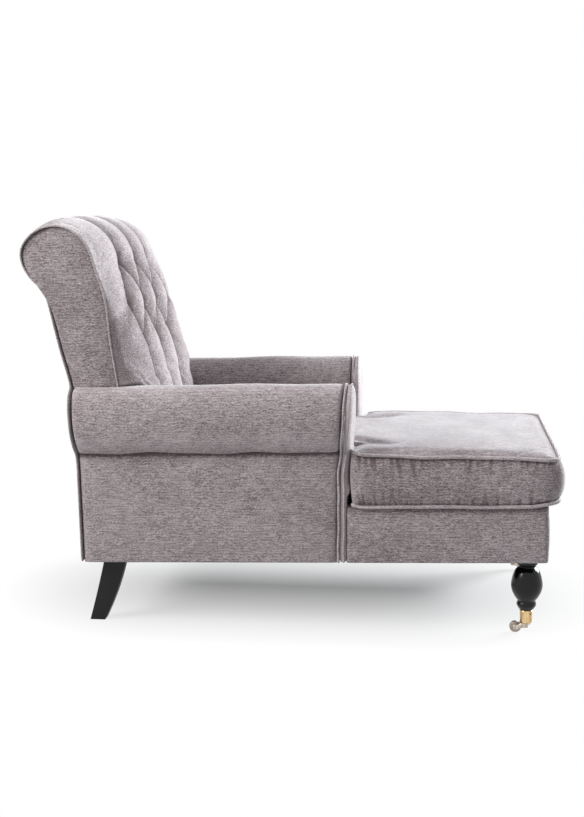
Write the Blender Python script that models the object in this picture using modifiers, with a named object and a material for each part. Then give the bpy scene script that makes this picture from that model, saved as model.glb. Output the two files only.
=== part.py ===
"""A chaise armchair: a scroll-backed armchair and its leg rest on one raked base.

The upholstered body is modelled level, with x forward from the rear face of the base and z up from
its underside, and hangs on an empty that rakes it. The legs and castors stand upright below it.
The sitter faces +X and the sitter's left is +Y. All sizes are in metres.
"""

import math

import bmesh
import bpy
import numpy as np
from mathutils import Vector

# Clearances and seams
CONTACT_GAP = 0.0003
WELT_RADIUS = 0.003
WELT_PROUD = 0.002
WELT_SEAT = WELT_RADIUS + CONTACT_GAP
SLIDE_CLEARANCE = 0.0012

# Meshing
MERGE_DISTANCE = 0.00001
SHARP_ANGLE = math.radians(50)
FLAT_ANGLE = math.radians(0.05)
EDGE_SEGMENTS = 2

# Raked base
BASE_LENGTH = 1.136
BASE_WIDTH = 0.700
BASE_HEIGHT = 0.136
BODY_RAKE = math.radians(1.523)
REAR_CLEARANCE = 0.159
PANEL_THICKNESS = 0.012
PANEL_EDGE_RADIUS = 0.004
FRONT_BORDER_THICKNESS = 0.021
FRONT_BORDER_RADIUS = 0.008
DUST_COVER_THICKNESS = 0.002
DUST_COVER_RECESS = 0.003

# Seat frame
DECK_THICKNESS = 0.0304
SIDE_RAIL_THICKNESS = 0.025
END_RAIL_THICKNESS = 0.045
CROSS_RAIL_X = 0.560
CROSS_RAIL_THICKNESS = 0.030
CROSS_RAIL_HEIGHT = 0.070
WEBBING_WIDTH = 0.060
WEBBING_THICKNESS = 0.0025
WEBBING_DROP = 0.012

# Arms; a rise is a height above the deck
ARM_LENGTH = 0.662
ARM_RISE = 0.295
ROLL_HALF_WIDTH = 0.065
ROLL_HALF_HEIGHT = 0.086
ROLL_OVERHANG = 0.035
ROLL_POINTS = 16
FACING_THICKNESS = 0.014
FACING_CROWN = 0.011
FACING_MARGIN = 0.008
CROWN_SEGMENTS = 16
CROWN_RINGS = 8
ARM_RAIL_HEIGHT = 0.030
ARM_POST_WIDTH = 0.050
ARM_POST_SETBACK = 0.020
INNER_PANEL_START = 0.110

# Back, seen from the side: the welt runs up the front edge of the side panel and over the scroll
BACK_INSET = 0.025
WELT_LINE_RISES = (
    (0.150, 0.000),
    (0.128, 0.164),
    (0.111, 0.287),
    (0.096, 0.399),
    (0.087, 0.503),
    (0.067, 0.577),
    (0.046, 0.639),
    (0.006, 0.675),
    (-0.040, 0.6835),
    (-0.083, 0.667),
    (-0.1105, 0.634),
    (-0.1115, 0.599),
    (-0.094, 0.565),
    (-0.066, 0.536),
)
REAR_LINE_RISES = (
    (0.000, 0.064),
    (-0.001, 0.124),
    (-0.012, 0.284),
    (-0.036, 0.389),
    (-0.060, 0.504),
    (-0.0655, 0.522),
)
LINE_SAMPLES = 160
SPAN_SAMPLES = 24
REAR_PANEL_ROWS = 22
BACK_POST_DEPTH = 0.045
BACK_POST_THICKNESS = 0.025
SCROLL_COVER = 0.0492
BACK_POST_POINTS = 9
TOP_RAIL_DEPTH = 0.060
TOP_RAIL_HEIGHT = 0.055
LOWER_RAIL_RISE = 0.194
LOWER_RAIL_HEIGHT = 0.060
LOWER_RAIL_THICKNESS = 0.025
NOTCH_CLEARANCE = 0.002

# Buttoned pad of the inside back
PAD_EDGE = 0.007
PAD_DEPTH_SEAT = 0.065
PAD_DEPTH_TOP = 0.0215
PAD_DEPTH_END = 0.010
PAD_SIDE_POWER = 4
PAD_SEAT_SIDE_POWER = 12
PAD_FULL_RISE = 0.224
PAD_STEP = 0.040
SCROLL_STEP = 0.026
PAD_NECK_ROWS = 6
PAD_ARM_CLEARANCE = 0.0012
BUTTON_ROW_RISES = (0.594, 0.489, 0.384)
BUTTON_PITCH = 0.145
BUTTONS_PER_ROW = (3, 4, 3)
BUTTON_RADIUS = 0.0105
BUTTON_HEIGHT = 0.007
BUTTON_RIM_HEIGHT = 0.0028
BUTTON_BASE_RADIUS = 0.0089
DOME_POINTS = 4
BUTTON_STEPS = 12
TUFT_SEAT = 0.012
TUFT_DEPTH = 0.024
TUFT_SPREAD = 0.030
PLEAT_DEPTH = 0.011
PLEAT_SPREAD = 0.014

# Loose T-shaped cushion
CUSHION_OVERHANG = 0.026
EAR_OVERHANG = 0.002
CUSHION_REAR_THICKNESS = 0.1277
CUSHION_FRONT_THICKNESS = 0.1127
CUSHION_CROWN = 0.022
CUSHION_FRONT_BULGE = 0.014
CUSHION_SIDE_BULGE = 0.009
CUSHION_DRAW = 0.004
CUSHION_CORNER = 0.030
CUSHION_CELL = 0.150
CUSHION_NOTCH = 0.0064
CUSHION_NOTCH_HEIGHT = 0.0086

# Legs; a share is a height in the turning, from the castor cup to the leg's top
LEG_INSET = 0.060
DOWEL_RADIUS = 0.007
DOWEL_LENGTH = 0.045
FRONT_LEG_STEPS = 24
COLLAR_RADIUS = 0.025
NECK_RADIUS = 0.0203
SHOULDER_RADIUS = 0.026
BALL_RADIUS = 0.038
WAIST_RADIUS = 0.023
RING_RADIUS = 0.0238
TAPER_RADIUS = 0.0213
ANKLE_OVERHANG = 0.0013
COLLAR_SHARE = 0.862
NECK_SHARE = 0.810
SHOULDER_SHARE = 0.727
BALL_SHARE = 0.464
BALL_HALF_SHARE = 0.361
BALL_TOP_SHARE = 0.614
BALL_LOW_SHARE = 0.246
WAIST_SHARE = 0.186
RING_SHARE = 0.129
TAPER_SHARE = 0.058
BALL_POINTS = 6
TOE_CLEARANCE = 0.0006
REAR_LEG_THICKNESS = 0.030
REAR_LEG_FOOT_BACK = 0.0115
REAR_LEG_FOOT_DEPTH = 0.0383
REAR_LEG_TOP_BACK = 0.052
REAR_LEG_TOP_DEPTH = 0.0548
REAR_LEG_BACK_BOW = 0.0013
REAR_LEG_FRONT_BOW = 0.0057
REAR_LEG_LEVELS = 7

# Castors
CUP_HEIGHT = 0.0324
CUP_RADIUS = 0.0152
CUP_WALL = 0.0028
CUP_FLOOR = 0.0040
WHEEL_RADIUS = 0.0138
WHEEL_WIDTH = 0.012
WHEEL_EDGE = 0.0012
WHEEL_TUCK = 0.0035
WHEEL_CLEARANCE = 0.0016
HORN_PLATE_RADIUS = 0.0105
HORN_PLATE_THICKNESS = 0.004
CHEEK_THICKNESS = 0.0024
CHEEK_BOSS_RADIUS = 0.0045
CHEEK_INSET = 0.0005
PINTLE_RADIUS = 0.0024
AXLE_RADIUS = 0.0018
AXLE_END = 0.0006
CASTOR_TURNS = {"right": 0.0, "left": math.pi}
CASTOR_STEPS = 24
AXLE_STEPS = 12
BOSS_POINTS = 7

# Places that follow from the sizes above
SIDES = (("right", -1), ("left", 1))
HALF_BASE = BASE_WIDTH / 2
PANEL_INNER = HALF_BASE - PANEL_THICKNESS
SIDE_RAIL_OUTER = PANEL_INNER - CONTACT_GAP
SIDE_RAIL_INNER = SIDE_RAIL_OUTER - SIDE_RAIL_THICKNESS
RAIL_BOTTOM = DUST_COVER_RECESS + DUST_COVER_THICKNESS + CONTACT_GAP
RAIL_TOP = BASE_HEIGHT - DECK_THICKNESS - CONTACT_GAP
FRAME_REAR = PANEL_THICKNESS + CONTACT_GAP
FRAME_FRONT = BASE_LENGTH - FRONT_BORDER_THICKNESS - CONTACT_GAP
FRONT_LEG_X = FRAME_FRONT - END_RAIL_THICKNESS / 2
REAR_LEG_X = REAR_LEG_TOP_BACK + REAR_LEG_TOP_DEPTH / 2
LEG_Y = HALF_BASE - LEG_INSET
LEGS = {
    "front": (FRONT_LEG_X, COLLAR_RADIUS),
    "rear": (REAR_LEG_X, REAR_LEG_TOP_DEPTH / 2),
}
WHEEL_UNDER_CUP = WHEEL_RADIUS + math.sqrt(WHEEL_RADIUS**2 - (WHEEL_RADIUS - WHEEL_TUCK) ** 2)
CUP_BOTTOM = WHEEL_UNDER_CUP + WHEEL_CLEARANCE
CUP_TOP = CUP_BOTTOM + CUP_HEIGHT
CASTOR_TRAIL = CUP_RADIUS - WHEEL_TUCK + WHEEL_RADIUS
TOE_RADIUS = CUP_RADIUS - CUP_WALL - TOE_CLEARANCE
ARM_HEIGHT = BASE_HEIGHT + ARM_RISE
ROLL_Y = HALF_BASE + ROLL_OVERHANG - ROLL_HALF_WIDTH
ROLL_Z = ARM_HEIGHT - ROLL_HALF_HEIGHT
ROLL_START = -math.acos((HALF_BASE - ROLL_Y) / ROLL_HALF_WIDTH)
ROLL_SEAT = ROLL_Z + ROLL_HALF_HEIGHT * math.sin(ROLL_START)
INNER_FACE = ROLL_Y - ROLL_HALF_WIDTH
FACING_REAR = ARM_LENGTH - FACING_THICKNESS
ARM_FRONT = FACING_REAR - 2 * WELT_SEAT
ARM_RAIL_BOTTOM = ROLL_SEAT - CONTACT_GAP - ARM_RAIL_HEIGHT
BACK_HALF_WIDTH = HALF_BASE - BACK_INSET
CREST_HEIGHT = BASE_HEIGHT + max(rise for _, rise in WELT_LINE_RISES)
BACK_POST_TOP = CREST_HEIGHT - SCROLL_COVER - TOP_RAIL_HEIGHT - CONTACT_GAP
LOWER_RAIL_Z = BASE_HEIGHT + LOWER_RAIL_RISE
PAD_FULL_HEIGHT = BASE_HEIGHT + PAD_FULL_RISE
BUTTON_ROW_HEIGHTS = [BASE_HEIGHT + rise for rise in BUTTON_ROW_RISES]
BACK_POST_INNER = INNER_FACE + PANEL_THICKNESS + CONTACT_GAP
BACK_POST_OUTER = BACK_POST_INNER + BACK_POST_THICKNESS
BACK_BOTTOM = ARM_HEIGHT + CONTACT_GAP
CUSHION_BOTTOM = BASE_HEIGHT + CONTACT_GAP
CUSHION_TOP_REAR = CUSHION_BOTTOM + CUSHION_REAR_THICKNESS
CUSHION_TOP_FRONT = CUSHION_BOTTOM + CUSHION_FRONT_THICKNESS
CUSHION_FRONT = BASE_LENGTH + CUSHION_OVERHANG
CUSHION_EAR_HALF_WIDTH = HALF_BASE + EAR_OVERHANG
CUSHION_SEAT_HALF_WIDTH = INNER_FACE - WELT_PROUD - WELT_RADIUS - SLIDE_CLEARANCE
CUSHION_REAR = WELT_LINE_RISES[0][0] + PAD_DEPTH_SEAT + WELT_RADIUS + SLIDE_CLEARANCE
CUSHION_EAR = ARM_LENGTH + FACING_CROWN + WELT_RADIUS + SLIDE_CLEARANCE

PARTS = bpy.data.collections.new("chaise_armchair")
CUTTERS = bpy.data.collections.new("chaise_armchair_cutters")


# Scene and materials


def clear_scene():
    for obj in list(bpy.data.objects):
        bpy.data.objects.remove(obj, do_unlink=True)
    bpy.context.scene.collection.children.link(PARTS)
    bpy.context.scene.collection.children.link(CUTTERS)


def finish(name, colour, roughness, metallic=0.0):
    material = bpy.data.materials.new(name)
    material.use_nodes = True
    shader = material.node_tree.nodes["Principled BSDF"]
    shader.inputs["Base Color"].default_value = (*colour, 1.0)
    shader.inputs["Roughness"].default_value = roughness
    shader.inputs["Metallic"].default_value = metallic
    return material


CHENILLE = finish("chenille", (0.34, 0.29, 0.30), 0.9)
CHENILLE_WELT = finish("chenille_welt", (0.28, 0.24, 0.25), 0.9)
BUTTON_CLOTH = finish("button_cloth", (0.30, 0.26, 0.27), 0.9)
DECK_CLOTH = finish("deck_cloth", (0.20, 0.18, 0.18), 0.95)
BEECH = finish("beech", (0.60, 0.42, 0.25), 0.6)
WEBBING = finish("jute_webbing", (0.42, 0.33, 0.20), 0.95)
DUST_CLOTH = finish("dust_cloth", (0.02, 0.02, 0.02), 0.95)
BLACK_LACQUER = finish("black_lacquer", (0.015, 0.014, 0.014), 0.25)
BRASS = finish("brass", (0.72, 0.50, 0.24), 0.3, 1.0)
STEEL = finish("steel", (0.45, 0.42, 0.40), 0.35, 1.0)


# Builders


def add_object(name, data, material, parent, location=(0, 0, 0), rotation=(0, 0, 0)):
    obj = bpy.data.objects.new(name, data)
    obj.location = location
    obj.rotation_euler = rotation
    obj.parent = parent
    data.materials.append(material)
    PARTS.objects.link(obj)
    return obj


def add_empty(name, parent=None, location=(0, 0, 0), rotation=(0, 0, 0)):
    empty = bpy.data.objects.new(name, None)
    empty.location = location
    empty.rotation_euler = rotation
    empty.parent = parent
    PARTS.objects.link(empty)
    return empty


def mesh_from(name, bm, smooth=False):
    bmesh.ops.recalc_face_normals(bm, faces=bm.faces)
    mesh = bpy.data.meshes.new(name)
    bm.to_mesh(mesh)
    bm.free()
    if smooth:
        mesh.shade_smooth()
        mesh.set_sharp_from_angle(angle=SHARP_ANGLE)
    return mesh


def box(name, low, high, material, parent, edge=0.0):
    """A box between two corners, its edges rounded where edge is given."""
    low = Vector(low)
    high = Vector(high)
    bm = bmesh.new()
    bmesh.ops.create_cube(bm, size=1.0)
    bmesh.ops.scale(bm, vec=high - low, verts=bm.verts)
    obj = add_object(name, mesh_from(name, bm), material, parent, (low + high) / 2)
    if edge:
        bevel = obj.modifiers.new("rounded_edges", "BEVEL")
        bevel.width = edge
        bevel.segments = EDGE_SEGMENTS
    return obj


def side_box(name, sign, x_range, y_range, z_range, material, parent, edge=0.0):
    """A box on one side of the chair; y_range counts outward from the centre plane."""
    ys = sorted(sign * y for y in y_range)
    low = (x_range[0], ys[0], z_range[0])
    high = (x_range[1], ys[1], z_range[1])
    return box(name, low, high, material, parent, edge)


PLANE_TURNS = {
    "XY": (0.0, 0.0, 0.0),
    "XZ": (math.pi / 2, 0.0, 0.0),
    "YZ": (math.pi / 2, 0.0, math.pi / 2),
}


def plate(name, outline, plane, middle, thickness, material, parent):
    """A flat outline in one plane, thickened evenly about its middle."""
    curve = bpy.data.curves.new(name, "CURVE")
    curve.dimensions = "2D"
    curve.fill_mode = "BOTH"
    curve.extrude = thickness / 2
    spline = curve.splines.new("POLY")
    spline.points.add(len(outline) - 1)
    for point, (a, b) in zip(spline.points, outline):
        point.co = (a, b, 0.0, 1.0)
    spline.use_cyclic_u = True
    axis = {"XY": 2, "XZ": 1, "YZ": 0}[plane]
    location = [0.0, 0.0, 0.0]
    location[axis] = middle
    return add_object(name, curve, material, parent, location, PLANE_TURNS[plane])


def tube(name, points, radius, material, parent, cyclic=False):
    curve = bpy.data.curves.new(name, "CURVE")
    curve.dimensions = "3D"
    curve.bevel_depth = radius
    curve.bevel_resolution = 1
    curve.use_fill_caps = True
    spline = curve.splines.new("POLY")
    spline.points.add(len(points) - 1)
    for point, place in zip(spline.points, points):
        point.co = (*place, 1.0)
    spline.use_cyclic_u = cyclic
    return add_object(name, curve, material, parent)


def turned(name, profile, steps, material, parent, location=(0, 0, 0), rotation=(0, 0, 0), ring=False):
    """A turned piece: (radius, height) points from the top down its outer side; a ring closes the profile."""
    bm = bmesh.new()
    verts = [bm.verts.new((radius, 0.0, height)) for radius, height in profile]
    for start, end in zip(verts, verts[1:]):
        bm.edges.new((start, end))
    if ring:
        bm.edges.new((verts[-1], verts[0]))
    mesh = bpy.data.meshes.new(name)
    bm.to_mesh(mesh)
    bm.free()
    obj = add_object(name, mesh, material, parent, location, rotation)
    screw = obj.modifiers.new("turned", "SCREW")
    screw.steps = steps
    screw.render_steps = steps
    screw.use_merge_vertices = True
    screw.merge_threshold = MERGE_DISTANCE
    return obj


def cylinder_mesh(name, radius, length, segments=CASTOR_STEPS):
    bm = bmesh.new()
    bmesh.ops.create_cone(
        bm, cap_ends=True, segments=segments, radius1=radius, radius2=radius, depth=length
    )
    return mesh_from(name, bm, smooth=True)


def as_mesh(curve_object):
    """The curve object's evaluated shape as a mesh object in its place, ready for Booleans."""
    bpy.context.view_layer.update()
    graph = bpy.context.evaluated_depsgraph_get()
    mesh = bpy.data.meshes.new_from_object(curve_object.evaluated_get(graph))
    bm = bmesh.new()
    bm.from_mesh(mesh)
    bmesh.ops.remove_doubles(bm, verts=bm.verts, dist=MERGE_DISTANCE)
    bmesh.ops.recalc_face_normals(bm, faces=bm.faces)
    bm.to_mesh(mesh)
    bm.free()
    name = curve_object.name
    obj = bpy.data.objects.new(name + "_mesh", mesh)
    obj.parent = curve_object.parent
    obj.location = curve_object.location
    obj.rotation_euler = curve_object.rotation_euler
    PARTS.objects.link(obj)
    bpy.data.objects.remove(curve_object, do_unlink=True)
    obj.name = name
    return obj


def as_cutter(obj):
    obj.hide_render = True
    obj.display_type = "WIRE"
    PARTS.objects.unlink(obj)
    CUTTERS.objects.link(obj)
    return obj


def combine(obj, tool, operation):
    boolean = obj.modifiers.new(tool.name, "BOOLEAN")
    boolean.object = tool
    boolean.operation = operation


def lattice(name, front, back, material, parent):
    """A closed pad between two grids of points of one shape; the flat strips of its back are merged."""
    bm = bmesh.new()
    sheets = []
    for grid in (front, back):
        sheets.append([[bm.verts.new(point) for point in row] for row in grid])
    front_verts, back_verts = sheets
    rows = len(front_verts)
    columns = len(front_verts[0])
    for sheet in sheets:
        for i in range(rows - 1):
            for j in range(columns - 1):
                bm.faces.new(
                    (sheet[i][j], sheet[i][j + 1], sheet[i + 1][j + 1], sheet[i + 1][j])
                )
    for i in range(rows - 1):
        for j in (0, columns - 1):
            bm.faces.new(
                (front_verts[i][j], front_verts[i + 1][j], back_verts[i + 1][j], back_verts[i][j])
            )
    for j in range(columns - 1):
        for i in (0, rows - 1):
            bm.faces.new(
                (front_verts[i][j], front_verts[i][j + 1], back_verts[i][j + 1], back_verts[i][j])
            )
    bmesh.ops.recalc_face_normals(bm, faces=bm.faces)
    back_set = {vert for row in back_verts for vert in row}
    back_edges = [edge for edge in bm.edges if back_set.issuperset(edge.verts)]
    bmesh.ops.dissolve_limit(bm, angle_limit=FLAT_ANGLE, verts=list(back_set), edges=back_edges)
    return add_object(name, mesh_from(name, bm, smooth=True), material, parent)


# Lines of the back


def smooth_line(points, samples):
    """A Catmull-Rom curve through the points, as evenly spaced samples."""
    points = np.array(points, float)
    padded = np.vstack([2 * points[0] - points[1], points, 2 * points[-1] - points[-2]])
    pieces = []
    for a, b, c, d in zip(padded, padded[1:], padded[2:], padded[3:]):
        t = np.linspace(0.0, 1.0, SPAN_SAMPLES, endpoint=False)[:, None]
        pieces.append(
            0.5
            * (
                2 * b
                + (c - a) * t
                + (2 * a - 5 * b + 4 * c - d) * t**2
                + (3 * b - a - 3 * c + d) * t**3
            )
        )
    dense = np.vstack([*pieces, points[-1:]])
    return resample(dense, np.linspace(0.0, 1.0, samples))


def lengths_of(line):
    return np.concatenate([[0.0], np.cumsum(np.linalg.norm(np.diff(line, axis=0), axis=1))])


def resample(line, shares):
    along = lengths_of(line)
    places = np.asarray(shares) * along[-1]
    return np.stack([np.interp(places, along, line[:, k]) for k in (0, 1)], axis=1)


def normals_of(line):
    """Unit normals on the outer side of a line that runs up the front and over the scroll."""
    tangent = np.gradient(line, axis=0)
    tangent /= np.linalg.norm(tangent, axis=1)[:, None]
    return np.stack([tangent[:, 1], -tangent[:, 0]], axis=1)


def above_deck(rises):
    return [(x, BASE_HEIGHT + rise) for x, rise in rises]


WELT_LINE = smooth_line(above_deck(WELT_LINE_RISES), LINE_SAMPLES)
WELT_NORMALS = normals_of(WELT_LINE)
WELT_ALONG = lengths_of(WELT_LINE)
WELT_LENGTH = WELT_ALONG[-1]
REAR_LINE = smooth_line([(0.0, 0.0), *above_deck(REAR_LINE_RISES)], LINE_SAMPLES)
WELT_CREST = int(np.argmax(WELT_LINE[:, 1]))


def along_at_height(height):
    """How far along the welt line its front run reaches a height."""
    front = slice(0, WELT_CREST + 1)
    return float(np.interp(height, WELT_LINE[front, 1], WELT_ALONG[front]))


def welt_point(along, offset):
    place = [np.interp(along, WELT_ALONG, WELT_LINE[:, k]) for k in (0, 1)]
    normal = np.array([np.interp(along, WELT_ALONG, WELT_NORMALS[:, k]) for k in (0, 1)])
    normal /= np.linalg.norm(normal)
    return np.array(place) + offset * normal


def between(stops, step):
    """The stops, with evenly spaced values between any two that lie more than a step apart."""
    values = []
    for low, high in zip(stops, stops[1:]):
        count = max(math.ceil((high - low) / step), 1)
        values.extend(np.linspace(low, high, count, endpoint=False))
    return [*values, stops[-1]]


def back_stations():
    """Stations along the welt line that the pad, the welts and the side panels share."""
    neck = []
    for angle in np.linspace(0.0, math.pi / 2, PAD_NECK_ROWS):
        height = ROLL_Z + (ROLL_HALF_HEIGHT + PAD_ARM_CLEARANCE) * math.sin(angle)
        neck.append(along_at_height(height))
    rows = [along_at_height(height) for height in BUTTON_ROW_HEIGHTS]
    seats = sorted(along + side * TUFT_SEAT for along in rows for side in (-1, 1))
    front = between([0.0, *neck, *seats], PAD_STEP)
    return [*front[:-1], *between([seats[-1], WELT_LENGTH], SCROLL_STEP)]


def front_x(height):
    return float(welt_point(along_at_height(height), 0.0)[0])


def rear_x(height):
    return float(np.interp(height, REAR_LINE[:, 1], REAR_LINE[:, 0]))


def post_x(height):
    """Middle of the back frame at a height."""
    return (front_x(height) + rear_x(height) + PANEL_THICKNESS) / 2


# Seat frame, deck and base covers


def dowel_cutters(root):
    """One upright hole cutter for each leg dowel."""
    cutters = {}
    length = DOWEL_LENGTH + BASE_HEIGHT
    for end, (x, _) in LEGS.items():
        for side, sign in SIDES:
            name = f"{end}_dowel_hole_{side}"
            mesh = cylinder_mesh(name, DOWEL_RADIUS + CONTACT_GAP, length, FRONT_LEG_STEPS)
            middle = leg_top(end) + DOWEL_LENGTH + CONTACT_GAP - length / 2
            hole = add_object(name, mesh, BEECH, root, (x, sign * LEG_Y, middle))
            cutters[end, side] = as_cutter(hole)
    return cutters


def seat_frame(body, cutters):
    rail_z = (RAIL_BOTTOM, RAIL_TOP)
    for side, sign in SIDES:
        side_box(
            f"seat_side_rail_{side}",
            sign,
            (FRAME_REAR, FRAME_FRONT),
            (SIDE_RAIL_INNER, SIDE_RAIL_OUTER),
            rail_z,
            BEECH,
            body,
        )
    span = SIDE_RAIL_INNER - CONTACT_GAP
    for end, (x, _) in LEGS.items():
        rail = box(
            f"seat_{end}_rail",
            (x - END_RAIL_THICKNESS / 2, -span, RAIL_BOTTOM),
            (x + END_RAIL_THICKNESS / 2, span, RAIL_TOP),
            BEECH,
            body,
        )
        for side, _ in SIDES:
            combine(rail, cutters[end, side], "DIFFERENCE")
    box(
        "seat_cross_rail",
        (CROSS_RAIL_X - CROSS_RAIL_THICKNESS / 2, -span, RAIL_BOTTOM),
        (CROSS_RAIL_X + CROSS_RAIL_THICKNESS / 2, span, RAIL_BOTTOM + CROSS_RAIL_HEIGHT),
        BEECH,
        body,
    )


def odd_cells(span, cell):
    """The odd number of cells near the given size that fills a span."""
    return 2 * max(round((span / cell - 1) / 2), 1) + 1


def seat_webbing(body):
    """Crossed straps stretched between the inner faces of the four rails."""
    start = REAR_LEG_X + END_RAIL_THICKNESS / 2 + CONTACT_GAP
    end = FRONT_LEG_X - END_RAIL_THICKNESS / 2 - CONTACT_GAP
    half = SIDE_RAIL_INNER - CONTACT_GAP
    long_cells = odd_cells(end - start, WEBBING_WIDTH)
    wide_cells = odd_cells(2 * half, WEBBING_WIDTH)
    bm = bmesh.new()
    bmesh.ops.create_grid(bm, x_segments=long_cells, y_segments=wide_cells, size=0.5)
    gaps = []
    for face in bm.faces:
        centre = face.calc_center_median()
        row = int((centre.x + 0.5) * long_cells)
        column = int((centre.y + 0.5) * wide_cells)
        if row % 2 == 0 and column % 2 == 0:
            gaps.append(face)
    bmesh.ops.delete(bm, geom=gaps, context="FACES")
    bmesh.ops.scale(bm, vec=(end - start, 2 * half, 1.0), verts=bm.verts)
    middle = ((start + end) / 2, 0.0, RAIL_TOP - WEBBING_DROP)
    straps = add_object("seat_webbing", mesh_from("seat_webbing", bm), WEBBING, body, middle)
    solid = straps.modifiers.new("thickness", "SOLIDIFY")
    solid.thickness = WEBBING_THICKNESS
    solid.offset = 0.0


def seat_deck(body):
    """The padded platform under the cushion, narrow between the arms and wide before them."""
    middle = BASE_HEIGHT - DECK_THICKNESS / 2
    narrow = INNER_FACE + PANEL_THICKNESS
    outline = [
        (FRAME_REAR, -narrow),
        (ARM_FRONT, -narrow),
        (ARM_FRONT, -SIDE_RAIL_OUTER),
        (FRAME_FRONT, -SIDE_RAIL_OUTER),
        (FRAME_FRONT, SIDE_RAIL_OUTER),
        (ARM_FRONT, SIDE_RAIL_OUTER),
        (ARM_FRONT, narrow),
        (FRAME_REAR, narrow),
    ]
    plate("seat_deck", outline, "XY", middle, DECK_THICKNESS, DECK_CLOTH, body)


def base_covers(body, cutters):
    for side, sign in SIDES:
        side_box(
            f"base_side_panel_{side}",
            sign,
            (ARM_LENGTH + CONTACT_GAP, FRAME_FRONT),
            (PANEL_INNER, HALF_BASE),
            (0.0, BASE_HEIGHT),
            CHENILLE,
            body,
            PANEL_EDGE_RADIUS,
        )
    box(
        "base_front_border",
        (BASE_LENGTH - FRONT_BORDER_THICKNESS, -HALF_BASE, 0.0),
        (BASE_LENGTH, HALF_BASE, BASE_HEIGHT),
        CHENILLE,
        body,
        FRONT_BORDER_RADIUS,
    )
    cover = box(
        "dust_cover",
        (FRAME_REAR, -SIDE_RAIL_OUTER, DUST_COVER_RECESS),
        (FRAME_FRONT, SIDE_RAIL_OUTER, DUST_COVER_RECESS + DUST_COVER_THICKNESS),
        DUST_CLOTH,
        body,
    )
    for hole in cutters.values():
        combine(cover, hole, "DIFFERENCE")


# Arms


def roll_arc(sign):
    """The rounded outline of the arm roll, from its seam on the outer side over to its inner face."""
    arc = []
    for angle in np.linspace(ROLL_START, math.pi, ROLL_POINTS):
        y = ROLL_Y + ROLL_HALF_WIDTH * math.cos(angle)
        z = ROLL_Z + ROLL_HALF_HEIGHT * math.sin(angle)
        arc.append((sign * y, z))
    return arc


def arm_frame(body, side, sign):
    side_box(
        f"arm_front_post_{side}",
        sign,
        (ARM_FRONT - ARM_POST_SETBACK - ARM_POST_WIDTH, ARM_FRONT - ARM_POST_SETBACK),
        (SIDE_RAIL_INNER, SIDE_RAIL_OUTER),
        (RAIL_TOP + CONTACT_GAP, ARM_RAIL_BOTTOM - CONTACT_GAP),
        BEECH,
        body,
    )
    side_box(
        f"arm_rail_{side}",
        sign,
        (post_x(ARM_RAIL_BOTTOM) + BACK_POST_DEPTH / 2 + CONTACT_GAP, ARM_FRONT),
        (BACK_POST_INNER, SIDE_RAIL_OUTER),
        (ARM_RAIL_BOTTOM, ROLL_SEAT - CONTACT_GAP),
        BEECH,
        body,
    )


def arm_panels(body, side, sign):
    side_box(
        f"arm_outer_panel_{side}",
        sign,
        (FRAME_REAR, ARM_FRONT),
        (PANEL_INNER, HALF_BASE),
        (0.0, ROLL_SEAT - CONTACT_GAP),
        CHENILLE,
        body,
        PANEL_EDGE_RADIUS,
    )
    side_box(
        f"arm_inner_panel_{side}",
        sign,
        (INNER_PANEL_START, ARM_FRONT),
        (INNER_FACE, INNER_FACE + PANEL_THICKNESS),
        (BASE_HEIGHT + CONTACT_GAP, ROLL_SEAT - CONTACT_GAP),
        CHENILLE,
        body,
    )


def arm_roll(body, side, sign):
    """The padded roll, notched at its inner rear corner round the back post."""
    outline = [*roll_arc(sign), (sign * INNER_FACE, ROLL_SEAT)]
    middle = (FRAME_REAR + ARM_FRONT) / 2
    length = ARM_FRONT - FRAME_REAR
    roll = as_mesh(plate(f"arm_roll_{side}", outline, "YZ", middle, length, CHENILLE, body))
    notch_front = post_x(ROLL_SEAT) + BACK_POST_DEPTH / 2 + NOTCH_CLEARANCE
    notch = side_box(
        f"arm_roll_notch_{side}",
        sign,
        (FRAME_REAR - PANEL_THICKNESS, notch_front),
        (INNER_FACE - ROLL_HALF_WIDTH, BACK_POST_OUTER + NOTCH_CLEARANCE),
        (ROLL_SEAT - ROLL_HALF_HEIGHT, ARM_HEIGHT + ROLL_HALF_HEIGHT),
        BEECH,
        body,
    )
    combine(roll, as_cutter(notch), "DIFFERENCE")


def facing_outline(sign):
    """The arm front: the roll and its neck above the deck, and a narrow tail down the side of the base."""
    return [
        (sign * HALF_BASE, 0.0),
        *roll_arc(sign),
        (sign * INNER_FACE, BASE_HEIGHT + CONTACT_GAP),
        (sign * PANEL_INNER, BASE_HEIGHT + CONTACT_GAP),
        (sign * PANEL_INNER, 0.0),
    ]


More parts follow.
